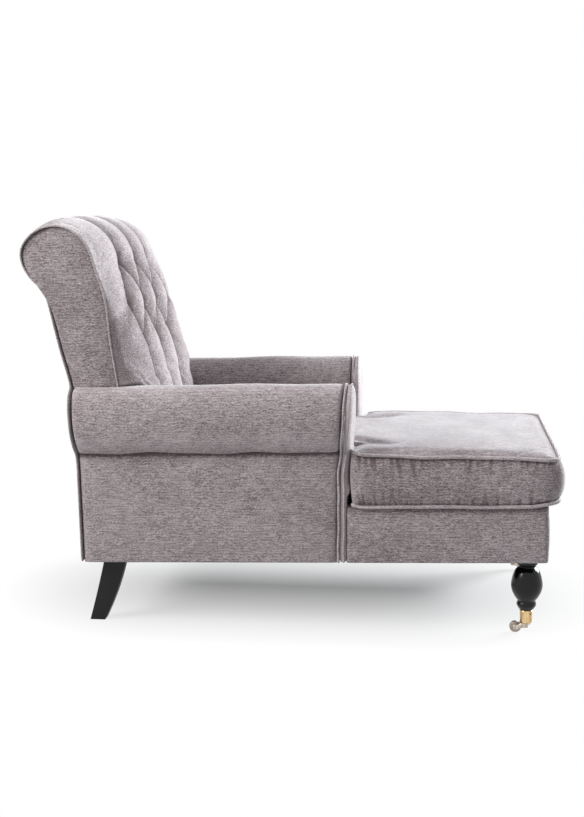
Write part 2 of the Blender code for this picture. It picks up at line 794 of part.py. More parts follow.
def arm_facing(body, side, sign):
    """The padded facing with its crown, and the welt sewn between it and the arm."""
    middle = (FACING_REAR + ARM_LENGTH) / 2
    outline = facing_outline(sign)
    name = f"arm_facing_{side}"
    facing = as_mesh(plate(name, outline, "YZ", middle, FACING_THICKNESS, CHENILLE, body))
    bm = bmesh.new()
    bmesh.ops.create_uvsphere(bm, u_segments=CROWN_SEGMENTS, v_segments=CROWN_RINGS, radius=1.0)
    depth = FACING_CROWN + FACING_THICKNESS / 2
    size = (depth, ROLL_HALF_WIDTH - FACING_MARGIN, ROLL_HALF_HEIGHT - FACING_MARGIN)
    bmesh.ops.scale(bm, vec=size, verts=bm.verts)
    mesh = mesh_from(f"{name}_crown", bm)
    crown = add_object(f"{name}_crown", mesh, CHENILLE, body, (middle, sign * ROLL_Y, ROLL_Z))
    cut = side_box(
        f"{name}_rear_cut",
        sign,
        (FACING_REAR - depth, FACING_REAR + CONTACT_GAP),
        (INNER_FACE - ROLL_HALF_WIDTH, HALF_BASE + ROLL_HALF_WIDTH),
        (0.0, ARM_HEIGHT + ROLL_HALF_HEIGHT),
        CHENILLE,
        body,
    )
    combine(crown, as_cutter(cut), "DIFFERENCE")
    combine(facing, as_cutter(crown), "UNION")
    facing_welt(body, side, sign)


def facing_welt(body, side, sign):
    sunk = WELT_RADIUS - WELT_PROUD
    x = FACING_REAR - WELT_SEAT
    path = [(x, sign * (HALF_BASE - sunk), WELT_RADIUS)]
    for angle in np.linspace(ROLL_START, math.pi, ROLL_POINTS):
        y = ROLL_Y + (ROLL_HALF_WIDTH - sunk) * math.cos(angle)
        z = ROLL_Z + (ROLL_HALF_HEIGHT - sunk) * math.sin(angle)
        path.append((x, sign * y, z))
    path.append((x, sign * (INNER_FACE + sunk), BASE_HEIGHT + WELT_SEAT))
    tube(f"arm_facing_welt_{side}", path, WELT_RADIUS, CHENILLE_WELT, body)


# Back


def back_frame(body):
    heights = np.linspace(RAIL_TOP + CONTACT_GAP, BACK_POST_TOP, BACK_POST_POINTS)
    half = BACK_POST_DEPTH / 2
    front = [(post_x(z) + half, z) for z in heights]
    rear = [(post_x(z) - half, z) for z in heights]
    outline = [*front, *reversed(rear)]
    for side, sign in SIDES:
        middle = sign * (BACK_POST_INNER + BACK_POST_OUTER) / 2
        plate(f"back_post_{side}", outline, "XZ", middle, BACK_POST_THICKNESS, BEECH, body)
    top_x = post_x(BACK_POST_TOP)
    top_z = BACK_POST_TOP + CONTACT_GAP
    top_half = BACK_HALF_WIDTH - PANEL_THICKNESS - CONTACT_GAP
    box(
        "back_top_rail",
        (top_x - TOP_RAIL_DEPTH / 2, -top_half, top_z),
        (top_x + TOP_RAIL_DEPTH / 2, top_half, top_z + TOP_RAIL_HEIGHT),
        BEECH,
        body,
    )
    low_x = post_x(LOWER_RAIL_Z)
    low_half = BACK_POST_INNER - CONTACT_GAP
    box(
        "back_lower_rail",
        (low_x - LOWER_RAIL_THICKNESS / 2, -low_half, LOWER_RAIL_Z),
        (low_x + LOWER_RAIL_THICKNESS / 2, low_half, LOWER_RAIL_Z + LOWER_RAIL_HEIGHT),
        BEECH,
        body,
    )


def back_sides(body):
    """The flat side panels above the arms and the welts along their front and scroll edge."""
    start = along_at_height(BACK_BOTTOM + WELT_RADIUS)
    stations = [start, *(along for along in back_stations() if along > start + WELT_RADIUS)]
    inset = [welt_point(along, -WELT_SEAT) for along in stations]
    front = [(inset[0][0], BACK_BOTTOM), *inset]
    rear = [(rear_x(z) + FRAME_REAR, z) for z in rear_rows() if z >= BACK_BOTTOM]
    outline = [*front, *reversed(rear)]
    path = [welt_point(along, 0.0) for along in stations]
    for side, sign in SIDES:
        middle = sign * (BACK_HALF_WIDTH - PANEL_THICKNESS / 2)
        plate(f"back_side_panel_{side}", outline, "XZ", middle, PANEL_THICKNESS, CHENILLE, body)
        y = sign * (BACK_HALF_WIDTH + WELT_PROUD - WELT_RADIUS)
        points = [(x, y, z) for x, z in path]
        tube(f"back_side_welt_{side}", points, WELT_RADIUS, CHENILLE_WELT, body)


def rear_half_width(height):
    """Half the width of the outside back: base, then the ends of the arm rolls, then the back."""
    if height <= ROLL_SEAT:
        return HALF_BASE
    if height >= ARM_HEIGHT:
        return BACK_HALF_WIDTH
    rise = (height - ROLL_Z) / ROLL_HALF_HEIGHT
    return max(ROLL_Y + ROLL_HALF_WIDTH * math.sqrt(1.0 - rise**2), BACK_HALF_WIDTH)


def rear_rows():
    """Heights that the outside back and the rear edges of the side panels share."""
    even = np.linspace(0.0, REAR_LINE[-1][1], REAR_PANEL_ROWS)
    return sorted([*even, ROLL_SEAT, ARM_HEIGHT, BACK_BOTTOM])


def outside_back(body):
    """The cover over the rear of the base, the arm ends and the back, up to the scroll."""
    front = []
    back = []
    for z in rear_rows():
        half = rear_half_width(z)
        x = rear_x(z)
        front.append([(x, y, z) for y in (-half, 0.0, half)])
        back.append([(x + PANEL_THICKNESS, y, z) for y in (-half, 0.0, half)])
    lattice("outside_back", front, back, CHENILLE, body)


# Buttoned pad


def button_places():
    """(across, along) of each button, row by row from the top."""
    places = []
    for height, count in zip(BUTTON_ROW_HEIGHTS, BUTTONS_PER_ROW):
        along = along_at_height(height)
        for k in range(count):
            places.append(((k - (count - 1) / 2) * BUTTON_PITCH, along))
    return places


def pleats(buttons):
    """Sewn folds: between neighbouring buttons, over the scroll, down to the seat and out to the sides."""
    folds = []
    rows = sorted({along for _, along in buttons})
    for across, along in buttons:
        for other_across, other_along in buttons:
            next_row = rows.index(other_along) - rows.index(along) == 1
            if next_row and abs(other_across - across) < BUTTON_PITCH:
                folds.append(((across, along), (other_across, other_along)))
        if along == rows[-1]:
            folds.append(((across, along), (across, WELT_LENGTH)))
        if along == rows[0]:
            folds.append(((across, 0.0), (across, along)))
    for sign in (-1, 1):
        across, along = max(buttons, key=lambda place: sign * place[0])
        folds.append(((across, along), (sign * BACK_HALF_WIDTH, along)))
    return folds


def distance_to_fold(point, fold):
    start, end = (np.array(place) for place in fold)
    run = end - start
    share = np.clip(np.dot(point - start, run) / np.dot(run, run), 0.0, 1.0)
    return float(np.linalg.norm(point - start - share * run))


def pad_half_width(along):
    """The pad fits between the arms, round the tops of their rolls, and is as wide as the back above."""
    height = float(np.interp(along, WELT_ALONG, WELT_LINE[:, 1]))
    if height < ROLL_Z:
        return INNER_FACE - CONTACT_GAP
    rise = (height - ROLL_Z) / (ROLL_HALF_HEIGHT + PAD_ARM_CLEARANCE)
    if rise >= 1.0 - CONTACT_GAP or along > WELT_ALONG[WELT_CREST]:
        return BACK_HALF_WIDTH
    reach = (ROLL_HALF_WIDTH + PAD_ARM_CLEARANCE) * math.sqrt(1.0 - rise**2)
    return ROLL_Y - reach


def pad_crown(across, along):
    """Thickness over the welt line before tufting, at a share of the pad's full width."""
    stations = (0.0, along_at_height(PAD_FULL_HEIGHT), WELT_ALONG[WELT_CREST], WELT_LENGTH)
    depths = (PAD_DEPTH_SEAT, PAD_DEPTH_SEAT, PAD_DEPTH_TOP, PAD_DEPTH_END)
    depth = float(np.interp(along, stations, depths))
    neck = (along_at_height(ROLL_Z), along_at_height(ARM_HEIGHT))
    power = float(np.interp(along, neck, (PAD_SEAT_SIDE_POWER, PAD_SIDE_POWER)))
    return PAD_EDGE + (depth - PAD_EDGE) * (1.0 - abs(across / BACK_HALF_WIDTH) ** power)


def pad_depth(across, along, buttons, folds):
    """Thickness over the welt line with the tufts and pleats drawn in."""
    point = np.array((across, along))
    for button in buttons:
        if np.abs(point - button).max() < TUFT_SEAT + CONTACT_GAP:
            return pad_crown(*button) - TUFT_DEPTH
    crown = pad_crown(across, along)
    to_button = min(np.linalg.norm(point - button) for button in buttons)
    to_fold = min(distance_to_fold(point, fold) for fold in folds)
    drawn = (TUFT_DEPTH - PLEAT_DEPTH) * math.exp(-((to_button / TUFT_SPREAD) ** 2))
    drawn += PLEAT_DEPTH * math.exp(-((to_fold / PLEAT_SPREAD) ** 2))
    return max(crown - drawn, PAD_EDGE)


def back_pad(body):
    """The buttoned pad, from behind the seat up and over the scroll, with a flat seat under each button."""
    buttons = button_places()
    folds = pleats(buttons)
    columns = sorted({round(across, 6) for across, _ in buttons})
    edges = [side * BACK_HALF_WIDTH for side in (-1, 1)]
    rims = [side * (BACK_HALF_WIDTH - PAD_EDGE) for side in (-1, 1)]
    seats = [across + side * TUFT_SEAT for across in columns for side in (-1, 1)]
    across_lines = between(sorted([*edges, *rims, *seats]), PAD_STEP)
    front = []
    back = []
    for along in back_stations():
        squeeze = pad_half_width(along) / BACK_HALF_WIDTH
        front_row = []
        back_row = []
        rear = welt_point(along, WELT_SEAT)
        for across in across_lines:
            depth = pad_depth(across, along, buttons, folds)
            x, z = welt_point(along, depth)
            front_row.append((x, across * squeeze, z))
            back_row.append((rear[0], across * squeeze, rear[1]))
        front.append(front_row)
        back.append(back_row)
    lattice("back_pad", front, back, CHENILLE, body)
    tuft_buttons(body, buttons)


def tuft_buttons(body, buttons):
    """A domed covered button on the flat seat of each tuft."""
    profile = [(0.0, BUTTON_HEIGHT)]
    dome = BUTTON_HEIGHT - BUTTON_RIM_HEIGHT
    for angle in np.linspace(math.pi / 2, 0.0, DOME_POINTS)[1:]:
        height = BUTTON_RIM_HEIGHT + dome * math.sin(angle)
        profile.append((BUTTON_RADIUS * math.cos(angle), height))
    profile.extend([(BUTTON_BASE_RADIUS, 0.0), (0.0, 0.0)])
    for number, (across, along) in enumerate(buttons, 1):
        depth = pad_crown(across, along) - TUFT_DEPTH
        low = welt_point(along - TUFT_SEAT, depth)
        high = welt_point(along + TUFT_SEAT, depth)
        run = high - low
        normal = np.array([run[1], -run[0]]) / np.linalg.norm(run)
        x, z = (low + high) / 2 + CONTACT_GAP * normal
        pitch = math.atan2(normal[0], normal[1])
        turned(
            f"tuft_button_{number:02d}",
            profile,
            BUTTON_STEPS,
            BUTTON_CLOTH,
            body,
            (x, across, z),
            (0.0, pitch, 0.0),
        )


# Loose cushion


def cushion_lines():
    """Grid lines of the T plan along and across, with the indices of its ear and seat edges."""
    stops_x = [
        CUSHION_REAR,
        CUSHION_REAR + CUSHION_CORNER,
        CUSHION_EAR,
        CUSHION_EAR + CUSHION_CORNER,
        CUSHION_FRONT - CUSHION_CORNER,
        CUSHION_FRONT,
    ]
    half_stops = [
        0.0,
        CUSHION_SEAT_HALF_WIDTH - CUSHION_CORNER,
        CUSHION_SEAT_HALF_WIDTH,
        CUSHION_EAR_HALF_WIDTH - CUSHION_CORNER,
        CUSHION_EAR_HALF_WIDTH,
    ]
    xs = between(stops_x, CUSHION_CELL)
    half = between(half_stops, CUSHION_CELL)
    ys = [-y for y in reversed(half[1:])] + half
    ear = int(np.argmin(np.abs(np.array(xs) - CUSHION_EAR)))
    seat = int(np.argmin(np.abs(np.array(ys) - CUSHION_SEAT_HALF_WIDTH)))
    return xs, ys, ear, seat


def cushion_cells(xs, ys, ear, seat):
    first = len(ys) - 1 - seat
    cells = []
    for i in range(len(xs) - 1):
        for j in range(len(ys) - 1):
            if i >= ear or first <= j < seat:
                cells.append((i, j))
    return cells


def cushion_rim(cells):
    """The grid nodes round the edge of the T, in order."""
    runs = {}
    for i, j in cells:
        corners = [(i, j), (i + 1, j), (i + 1, j + 1), (i, j + 1)]
        for start, end in zip(corners, corners[1:] + corners[:1]):
            runs[start, end] = True
    step = {start: end for start, end in runs if (end, start) not in runs}
    rim = [min(step)]
    while step[rim[-1]] != rim[0]:
        rim.append(step[rim[-1]])
    return rim


def cushion_plan(node, lines, inset, bulge):
    """Where a grid node lies in plan, with the rim moved in by inset or out by a share of its bulge."""
    xs, ys, ear, seat = lines
    i, j = node
    x = xs[i]
    y = abs(ys[j])
    sign = math.copysign(1.0, ys[j])
    outer = j in (0, len(ys) - 1)
    side = j in (seat, len(ys) - 1 - seat)
    if i == 0 or (i == ear and y >= CUSHION_SEAT_HALF_WIDTH):
        x += inset
    if i == len(xs) - 1:
        x += bulge * CUSHION_FRONT_BULGE - inset
    if outer:
        share = (x - CUSHION_EAR) / (CUSHION_FRONT - CUSHION_EAR)
        y += bulge * CUSHION_SIDE_BULGE - inset - CUSHION_DRAW * math.sin(math.pi * np.clip(share, 0, 1))
    if side and i <= ear:
        y -= inset
    corner = CUSHION_CORNER * (1.0 - math.sqrt(0.5))
    if outer and i in (ear, len(xs) - 1) or side and i == 0:
        x += corner if i in (0, ear) else -corner
        y -= corner
    return x, sign * y


def cushion_edge_top(x):
    """Height of the top edge, falling a little toward the front."""
    share = np.clip((x - CUSHION_EAR) / (CUSHION_FRONT - CUSHION_EAR), 0.0, 1.0)
    return CUSHION_TOP_REAR + (CUSHION_TOP_FRONT - CUSHION_TOP_REAR) * share


def cushion_crown(x, y):
    """Rise of the stuffed top over its edge."""
    half = CUSHION_EAR_HALF_WIDTH if x > CUSHION_EAR else CUSHION_SEAT_HALF_WIDTH
    across = 1.0 - min(abs(y) / half, 1.0) ** 2
    middle = (CUSHION_REAR + CUSHION_FRONT) / 2
    length = 1.0 - min(abs(x - middle) / (CUSHION_FRONT - middle), 1.0) ** 4
    return CUSHION_CROWN * across * length


def seat_cushion(body):
    """The boxed cushion, notched along its edges for the welts."""
    lines = cushion_lines()
    cells = cushion_cells(*lines)
    rim = cushion_rim(cells)
    bm = bmesh.new()
    made = {}

    def vertex(node, layer):
        if (node, layer) not in made:
            inset = CUSHION_NOTCH if layer in (0, 4) and node in rim else 0.0
            bulge = 1.0 if layer == 2 else 0.0
            x, y = cushion_plan(node, lines, inset, bulge)
            top = cushion_edge_top(x)
            heights = (
                CUSHION_BOTTOM,
                CUSHION_BOTTOM + CUSHION_NOTCH_HEIGHT,
                (CUSHION_BOTTOM + top) / 2,
                top - CUSHION_NOTCH_HEIGHT,
                top if node in rim else top + cushion_crown(x, y),
            )
            made[node, layer] = bm.verts.new((x, y, heights[layer]))
        return made[node, layer]

    for i, j in cells:
        corners = [(i, j), (i + 1, j), (i + 1, j + 1), (i, j + 1)]
        for layer in (0, 4):
            bm.faces.new([vertex(node, layer) for node in corners])
    for start, end in zip(rim, rim[1:] + rim[:1]):
        for layer in range(4):
            bm.faces.new(
                (
                    vertex(start, layer),
                    vertex(end, layer),
                    vertex(end, layer + 1),
                    vertex(start, layer + 1),
                )
            )
    mesh = mesh_from("seat_cushion", bm, smooth=True)
    add_object("seat_cushion", mesh, CHENILLE, body)
    for level in ("top", "bottom"):
        path = []
        for node in rim:
            x, y = cushion_plan(node, lines, 0.0, 0.0)
            edge = cushion_edge_top(x) - WELT_RADIUS
            path.append((x, y, edge if level == "top" else CUSHION_BOTTOM + WELT_RADIUS))
        tube(f"cushion_{level}_welt", path, WELT_RADIUS, CHENILLE_WELT, body, cyclic=True)


# Legs


def leg_top(end):
    """Height of a leg's flat top, just below the raked dust cover over its rear edge."""
    x, reach = LEGS[end]
    under = REAR_CLEARANCE + (x - reach) * math.tan(BODY_RAKE)
    return under + DUST_COVER_RECESS / math.cos(BODY_RAKE) - CONTACT_GAP


def front_leg(root, side, sign):
    """Turned leg: dowel, collar, neck, ball, ring, taper and the toe that stands in the castor cup."""
    top = leg_top("front")
    toe = CUP_BOTTOM + CUP_FLOOR + CONTACT_GAP
    ankle = CUP_TOP + CONTACT_GAP

    def height(share):
        return ankle + share * (top - ankle)

    profile = [
        (0.0, top + DOWEL_LENGTH),
        (DOWEL_RADIUS, top + DOWEL_LENGTH),
        (DOWEL_RADIUS, top),
        (COLLAR_RADIUS, top),
        (COLLAR_RADIUS, height(COLLAR_SHARE)),
        (NECK_RADIUS, height(NECK_SHARE)),
        (SHOULDER_RADIUS, height(SHOULDER_SHARE)),
    ]
    for share in np.linspace(BALL_TOP_SHARE, BALL_LOW_SHARE, BALL_POINTS):
        drop = (share - BALL_SHARE) / BALL_HALF_SHARE
        profile.append((BALL_RADIUS * math.sqrt(1.0 - drop**2), height(share)))
    profile.extend(
        [
            (WAIST_RADIUS, height(WAIST_SHARE)),
            (RING_RADIUS, height(RING_SHARE)),
            (TAPER_RADIUS, height(TAPER_SHARE)),
            (CUP_RADIUS + ANKLE_OVERHANG, ankle),
            (TOE_RADIUS, ankle),
            (TOE_RADIUS, toe),
            (0.0, toe),
        ]
    )
    place = (FRONT_LEG_X, sign * LEG_Y, 0.0)
    turned(f"front_leg_{side}", profile, FRONT_LEG_STEPS, BLACK_LACQUER, root, place)


def rear_leg(root, side, sign):
    """Sabre leg, sawn to a curve that kicks back, with a dowel into the rear rail."""
    top = leg_top("rear")
    back = []
    front = []
    for share in np.linspace(0.0, 1.0, REAR_LEG_LEVELS):
        bow = 4.0 * share * (1.0 - share)
        foot = REAR_LEG_FOOT_BACK
        x = foot + (REAR_LEG_TOP_BACK - foot) * share + REAR_LEG_BACK_BOW * bow
        back.append((x, top * share))
        foot += REAR_LEG_FOOT_DEPTH
        head = REAR_LEG_TOP_BACK + REAR_LEG_TOP_DEPTH
        x = foot + (head - foot) * share + REAR_LEG_FRONT_BOW * bow
        front.append((x, top * share))
    outline = [*front, *reversed(back)]
    name = f"rear_leg_{side}"
    leg = as_mesh(
        plate(name, outline, "XZ", sign * LEG_Y, REAR_LEG_THICKNESS, BLACK_LACQUER, root)
    )
    rooted = 0.5 * DOWEL_LENGTH
    mesh = cylinder_mesh(f"{name}_dowel", DOWEL_RADIUS, DOWEL_LENGTH + rooted)
    middle = top + (DOWEL_LENGTH - rooted) / 2
    place = (REAR_LEG_X, sign * LEG_Y, middle)
    dowel = add_object(f"{name}_dowel", mesh, BLACK_LACQUER, root, place)
    combine(leg, as_cutter(dowel), "UNION")


# Castors


def castor_cup(root, side, sign):
    inner = CUP_RADIUS - CUP_WALL
    hole = PINTLE_RADIUS + CONTACT_GAP
    profile = [
        (CUP_RADIUS, CUP_TOP),
        (CUP_RADIUS, CUP_BOTTOM),
        (hole, CUP_BOTTOM),
        (hole, CUP_BOTTOM + CUP_FLOOR),
        (inner, CUP_BOTTOM + CUP_FLOOR),
        (inner, CUP_TOP),
    ]
    place = (FRONT_LEG_X, sign * LEG_Y, 0.0)
    turned(f"castor_cup_{side}", profile, CASTOR_STEPS, BRASS, root, place, ring=True)


def cheek_outline():
    """A horn cheek from the plate back to the axle boss, about the axle."""
    plate_top = CUP_BOTTOM - CONTACT_GAP - CHEEK_INSET - WHEEL_RADIUS
    plate_low = plate_top - HORN_PLATE_THICKNESS + 2 * CHEEK_INSET
    reach = CASTOR_TRAIL + CHEEK_BOSS_RADIUS
    outline = [(reach, plate_low), (reach, plate_top)]
    for angle in np.linspace(math.pi / 2, 3 * math.pi / 2, BOSS_POINTS):
        outline.append((CHEEK_BOSS_RADIUS * math.cos(angle), CHEEK_BOSS_RADIUS * math.sin(angle)))
    return outline


def castor_horn(swivel, side):
    """Plate and pintle on the swivel axis with two cheeks that trail back to the axle."""
    plate_top = CUP_BOTTOM - CONTACT_GAP
    name = f"castor_horn_{side}"
    mesh = cylinder_mesh(name, HORN_PLATE_RADIUS, HORN_PLATE_THICKNESS)
    horn = add_object(name, mesh, STEEL, swivel, (0, 0, plate_top - HORN_PLATE_THICKNESS / 2))
    pintle_low = plate_top - HORN_PLATE_THICKNESS / 2
    pintle_high = CUP_BOTTOM + CUP_FLOOR - CONTACT_GAP
    mesh = cylinder_mesh(f"{name}_pintle", PINTLE_RADIUS, pintle_high - pintle_low)
    place = (0, 0, (pintle_low + pintle_high) / 2)
    combine(horn, as_cutter(add_object(f"{name}_pintle", mesh, STEEL, swivel, place)), "UNION")
    cheek_y = WHEEL_WIDTH / 2 + 2 * CONTACT_GAP + CHEEK_THICKNESS / 2
    for number, sign in enumerate((-1, 1)):
        cheek = as_mesh(
            plate(
                f"{name}_cheek_{number}",
                cheek_outline(),
                "XZ",
                sign * cheek_y,
                CHEEK_THICKNESS,
                STEEL,
                swivel,
            )
        )
        cheek.location.x = -CASTOR_TRAIL
        cheek.location.z = WHEEL_RADIUS
        combine(horn, as_cutter(cheek), "UNION")
    mesh = cylinder_mesh(f"{name}_bore", AXLE_RADIUS + CONTACT_GAP, 4 * cheek_y)
    place = (-CASTOR_TRAIL, 0, WHEEL_RADIUS)
    turn = (math.pi / 2, 0, 0)
    combine(
        horn, as_cutter(add_object(f"{name}_bore", mesh, STEEL, swivel, place, turn)), "DIFFERENCE"
    )


def castor_wheel(axle_frame, side):
    half = WHEEL_WIDTH / 2
    bore = AXLE_RADIUS + CONTACT_GAP
    profile = [
        (WHEEL_RADIUS - WHEEL_EDGE, half),
        (WHEEL_RADIUS, half - WHEEL_EDGE),
        (WHEEL_RADIUS, WHEEL_EDGE - half),
        (WHEEL_RADIUS - WHEEL_EDGE, -half),
        (bore, -half),
        (bore, half),
    ]
    turn = (math.pi / 2, 0, 0)
    name = f"castor_wheel_{side}"
    turned(name, profile, CASTOR_STEPS, STEEL, axle_frame, rotation=turn, ring=True)
    length = WHEEL_WIDTH + 4 * CONTACT_GAP + 2 * CHEEK_THICKNESS + 2 * AXLE_END
    mesh = cylinder_mesh(f"castor_axle_{side}", AXLE_RADIUS, length, AXLE_STEPS)
    add_object(f"castor_axle_{side}", mesh, STEEL, axle_frame, rotation=turn)


def castor(root, side, sign):
    """A castor whose fork trails behind its stem, or before it where it is turned."""
    castor_cup(root, side, sign)
    place = (FRONT_LEG_X, sign * LEG_Y, 0.0)
    swivel = add_empty(f"castor_swivel_{side}", root, place, (0.0, 0.0, CASTOR_TURNS[side]))
    castor_horn(swivel, side)
    axle_frame = add_empty(f"castor_axle_frame_{side}", swivel, (-CASTOR_TRAIL, 0.0, WHEEL_RADIUS))
    castor_wheel(axle_frame, side)


# Whole chair


def centre_over_origin(root):
    """Moves the chair along x so that the middle of its box stands over the origin."""
    bpy.context.view_layer.update()
    graph = bpy.context.evaluated_depsgraph_get()
    reach = []
    for obj in PARTS.objects:
        if obj.type == "EMPTY":
            continue
        shape = obj.evaluated_get(graph)
        mesh = shape.to_mesh()
        reach.extend((shape.matrix_world @ vert.co).x for vert in mesh.vertices)
        shape.to_mesh_clear()
    root.location.x -= (min(reach) + max(reach)) / 2


def build():
    clear_scene()
    root = add_empty("chaise")
    body = add_empty("raked_body", root, (0.0, 0.0, REAR_CLEARANCE), (0.0, -BODY_RAKE, 0.0))
    cutters = dowel_cutters(root)
    seat_frame(body, cutters)
    seat_webbing(body)
    seat_deck(body)
    base_covers(body, cutters)
    for side, sign in SIDES:
        arm_frame(body, side, sign)
        arm_panels(body, side, sign)
        arm_roll(body, side, sign)
        arm_facing(body, side, sign)
        front_leg(root, side, sign)
        rear_leg(root, side, sign)
        castor(root, side, sign)
    back_frame(body)
    back_sides(body)
    outside_back(body)
    back_pad(body)
    seat_cushion(body)
    centre_over_origin(root)


build()
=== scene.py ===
"""Looks of the chaise armchair: its upholstery, legs and castors, in a plain studio."""

import math
import random

import bmesh
import bpy
import numpy as np
from mathutils import Matrix, Vector


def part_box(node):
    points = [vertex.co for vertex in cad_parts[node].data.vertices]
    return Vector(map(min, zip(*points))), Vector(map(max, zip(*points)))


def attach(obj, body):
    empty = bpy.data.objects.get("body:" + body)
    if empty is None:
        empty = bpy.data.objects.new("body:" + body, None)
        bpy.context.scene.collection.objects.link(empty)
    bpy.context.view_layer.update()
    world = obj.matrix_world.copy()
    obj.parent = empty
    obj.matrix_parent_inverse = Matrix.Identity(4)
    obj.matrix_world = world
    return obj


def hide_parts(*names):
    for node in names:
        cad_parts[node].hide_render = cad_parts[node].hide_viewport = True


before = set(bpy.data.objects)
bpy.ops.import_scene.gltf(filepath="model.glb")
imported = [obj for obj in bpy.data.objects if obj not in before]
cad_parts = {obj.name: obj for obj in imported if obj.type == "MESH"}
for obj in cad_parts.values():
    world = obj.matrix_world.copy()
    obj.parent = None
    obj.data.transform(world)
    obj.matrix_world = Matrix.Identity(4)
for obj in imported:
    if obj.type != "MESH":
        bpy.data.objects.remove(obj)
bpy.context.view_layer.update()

# Camera, from the photograph's vanishing points
IMAGE_LONG_SIDE = 817
FOCAL_PIXELS = 1310
SENSOR_WIDTH = 36.0
CAMERA_PLACE = (0.3536, -3.4121, 1.0)
CAMERA_PITCH = math.radians(8.317)
CAMERA_YAW = math.radians(6.293)

# Seams
WELT_RADIUS = 0.0031
WELT_PROUD = 0.0022
SEAM_GAP = 0.0012

# Cover meshes
CELL = 0.010
RNG = random.Random(11)
SIDES = (("right", -1), ("left", 1))

# Body frame: x forward from the rear of the base, z up from its underside, raked with the chair


def lowest_point(node):
    """Lowest vertex of a CAD node."""
    return min((vert.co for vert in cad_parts[node].data.vertices), key=lambda co: co.z)


REAR_EDGE = lowest_point("outside_back")
BASE_RUN = lowest_point("base_front_border") - REAR_EDGE
RAKE = math.atan2(BASE_RUN.z, BASE_RUN.x)
BODY = Matrix.Translation((REAR_EDGE.x, 0.0, REAR_EDGE.z)) @ Matrix.Rotation(-RAKE, 4, "Y")
TO_BODY = BODY.inverted()


def span(node):
    """Lowest and highest corner of a CAD node in the body frame."""
    places = np.array([TO_BODY @ vert.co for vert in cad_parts[node].data.vertices])
    return Vector(places.min(axis=0)), Vector(places.max(axis=0))


BORDER_HIGH = span("base_front_border")[1]
ROLL_LOW, ROLL_HIGH = span("arm_roll_left")
FACING_LOW, FACING_HIGH = span("arm_facing_left")
TOP_WELT_LOW, TOP_WELT_HIGH = span("cushion_top_welt")
HALF_BASE = BORDER_HIGH.y
DECK_TOP = BORDER_HIGH.z
INNER_FACE = ROLL_LOW.y
ROLL_Y = (ROLL_LOW.y + ROLL_HIGH.y) / 2
ROLL_HALF_WIDTH = (ROLL_HIGH.y - ROLL_LOW.y) / 2
ARM_TOP = ROLL_HIGH.z
ROLL_SEAM = ROLL_LOW.z
ROLL_HALF_HEIGHT = 0.086
ROLL_Z = ARM_TOP - ROLL_HALF_HEIGHT
ROLL_START = -math.acos((HALF_BASE - ROLL_Y) / ROLL_HALF_WIDTH)
FACING_REAR = FACING_LOW.x
FACING_FRONT = span("base_side_panel_left")[0].x
ARM_FRONT = FACING_REAR - 2 * WELT_RADIUS
BACK_HALF = span("back_side_panel_left")[1].y


# Shader maths


class Field:
    """A socket of one node tree; expressions on it add Math nodes."""

    def __init__(self, nodes, socket):
        self.nodes = nodes
        self.socket = socket

    def maths(self, operation, first, second):
        return self.nodes.add("ShaderNodeMath", {"operation": operation}, {0: first, 1: second})

    def __add__(self, other):
        return self.maths("ADD", self, other)

    def __radd__(self, other):
        return self.maths("ADD", other, self)

    def __sub__(self, other):
        return self.maths("SUBTRACT", self, other)

    def __rsub__(self, other):
        return self.maths("SUBTRACT", other, self)

    def __mul__(self, other):
        return self.maths("MULTIPLY", self, other)

    def __rmul__(self, other):
        return self.maths("MULTIPLY", other, self)

    def at_least(self, other):
        return self.maths("MAXIMUM", self, other)

    def clamped(self):
        return self.nodes.add("ShaderNodeClamp", {}, {"Value": self})


class Nodes:
    """One node tree; each node it gets comes from its add method."""

    def __init__(self, tree):
        self.tree = tree

    def feed(self, target, value):
        """Links a field to a socket, or sets a number or colour on it."""
        if isinstance(value, Field):
            self.tree.links.new(value.socket, target)
        else:
            target.default_value = value

    def add(self, kind, settings, inputs, output=0):
        """A node with its settings, then the values or links of its sockets."""
        node = self.tree.nodes.new(kind)
        for key, value in settings.items():
            setattr(node, key, value)
        for key, value in inputs.items():
            self.feed(node.inputs[key], value)
        return Field(self, node.outputs[output])

    def looked_at(self):
        """One where the camera, a reflection or a view through glass meets a surface, else zero."""
        seen = self.add("ShaderNodeLightPath", {}, {}, "Is Camera Ray")
        for ray in ("Is Glossy Ray", "Is Transmission Ray"):
            seen = seen.at_least(self.add("ShaderNodeLightPath", {}, {}, ray))
        return seen


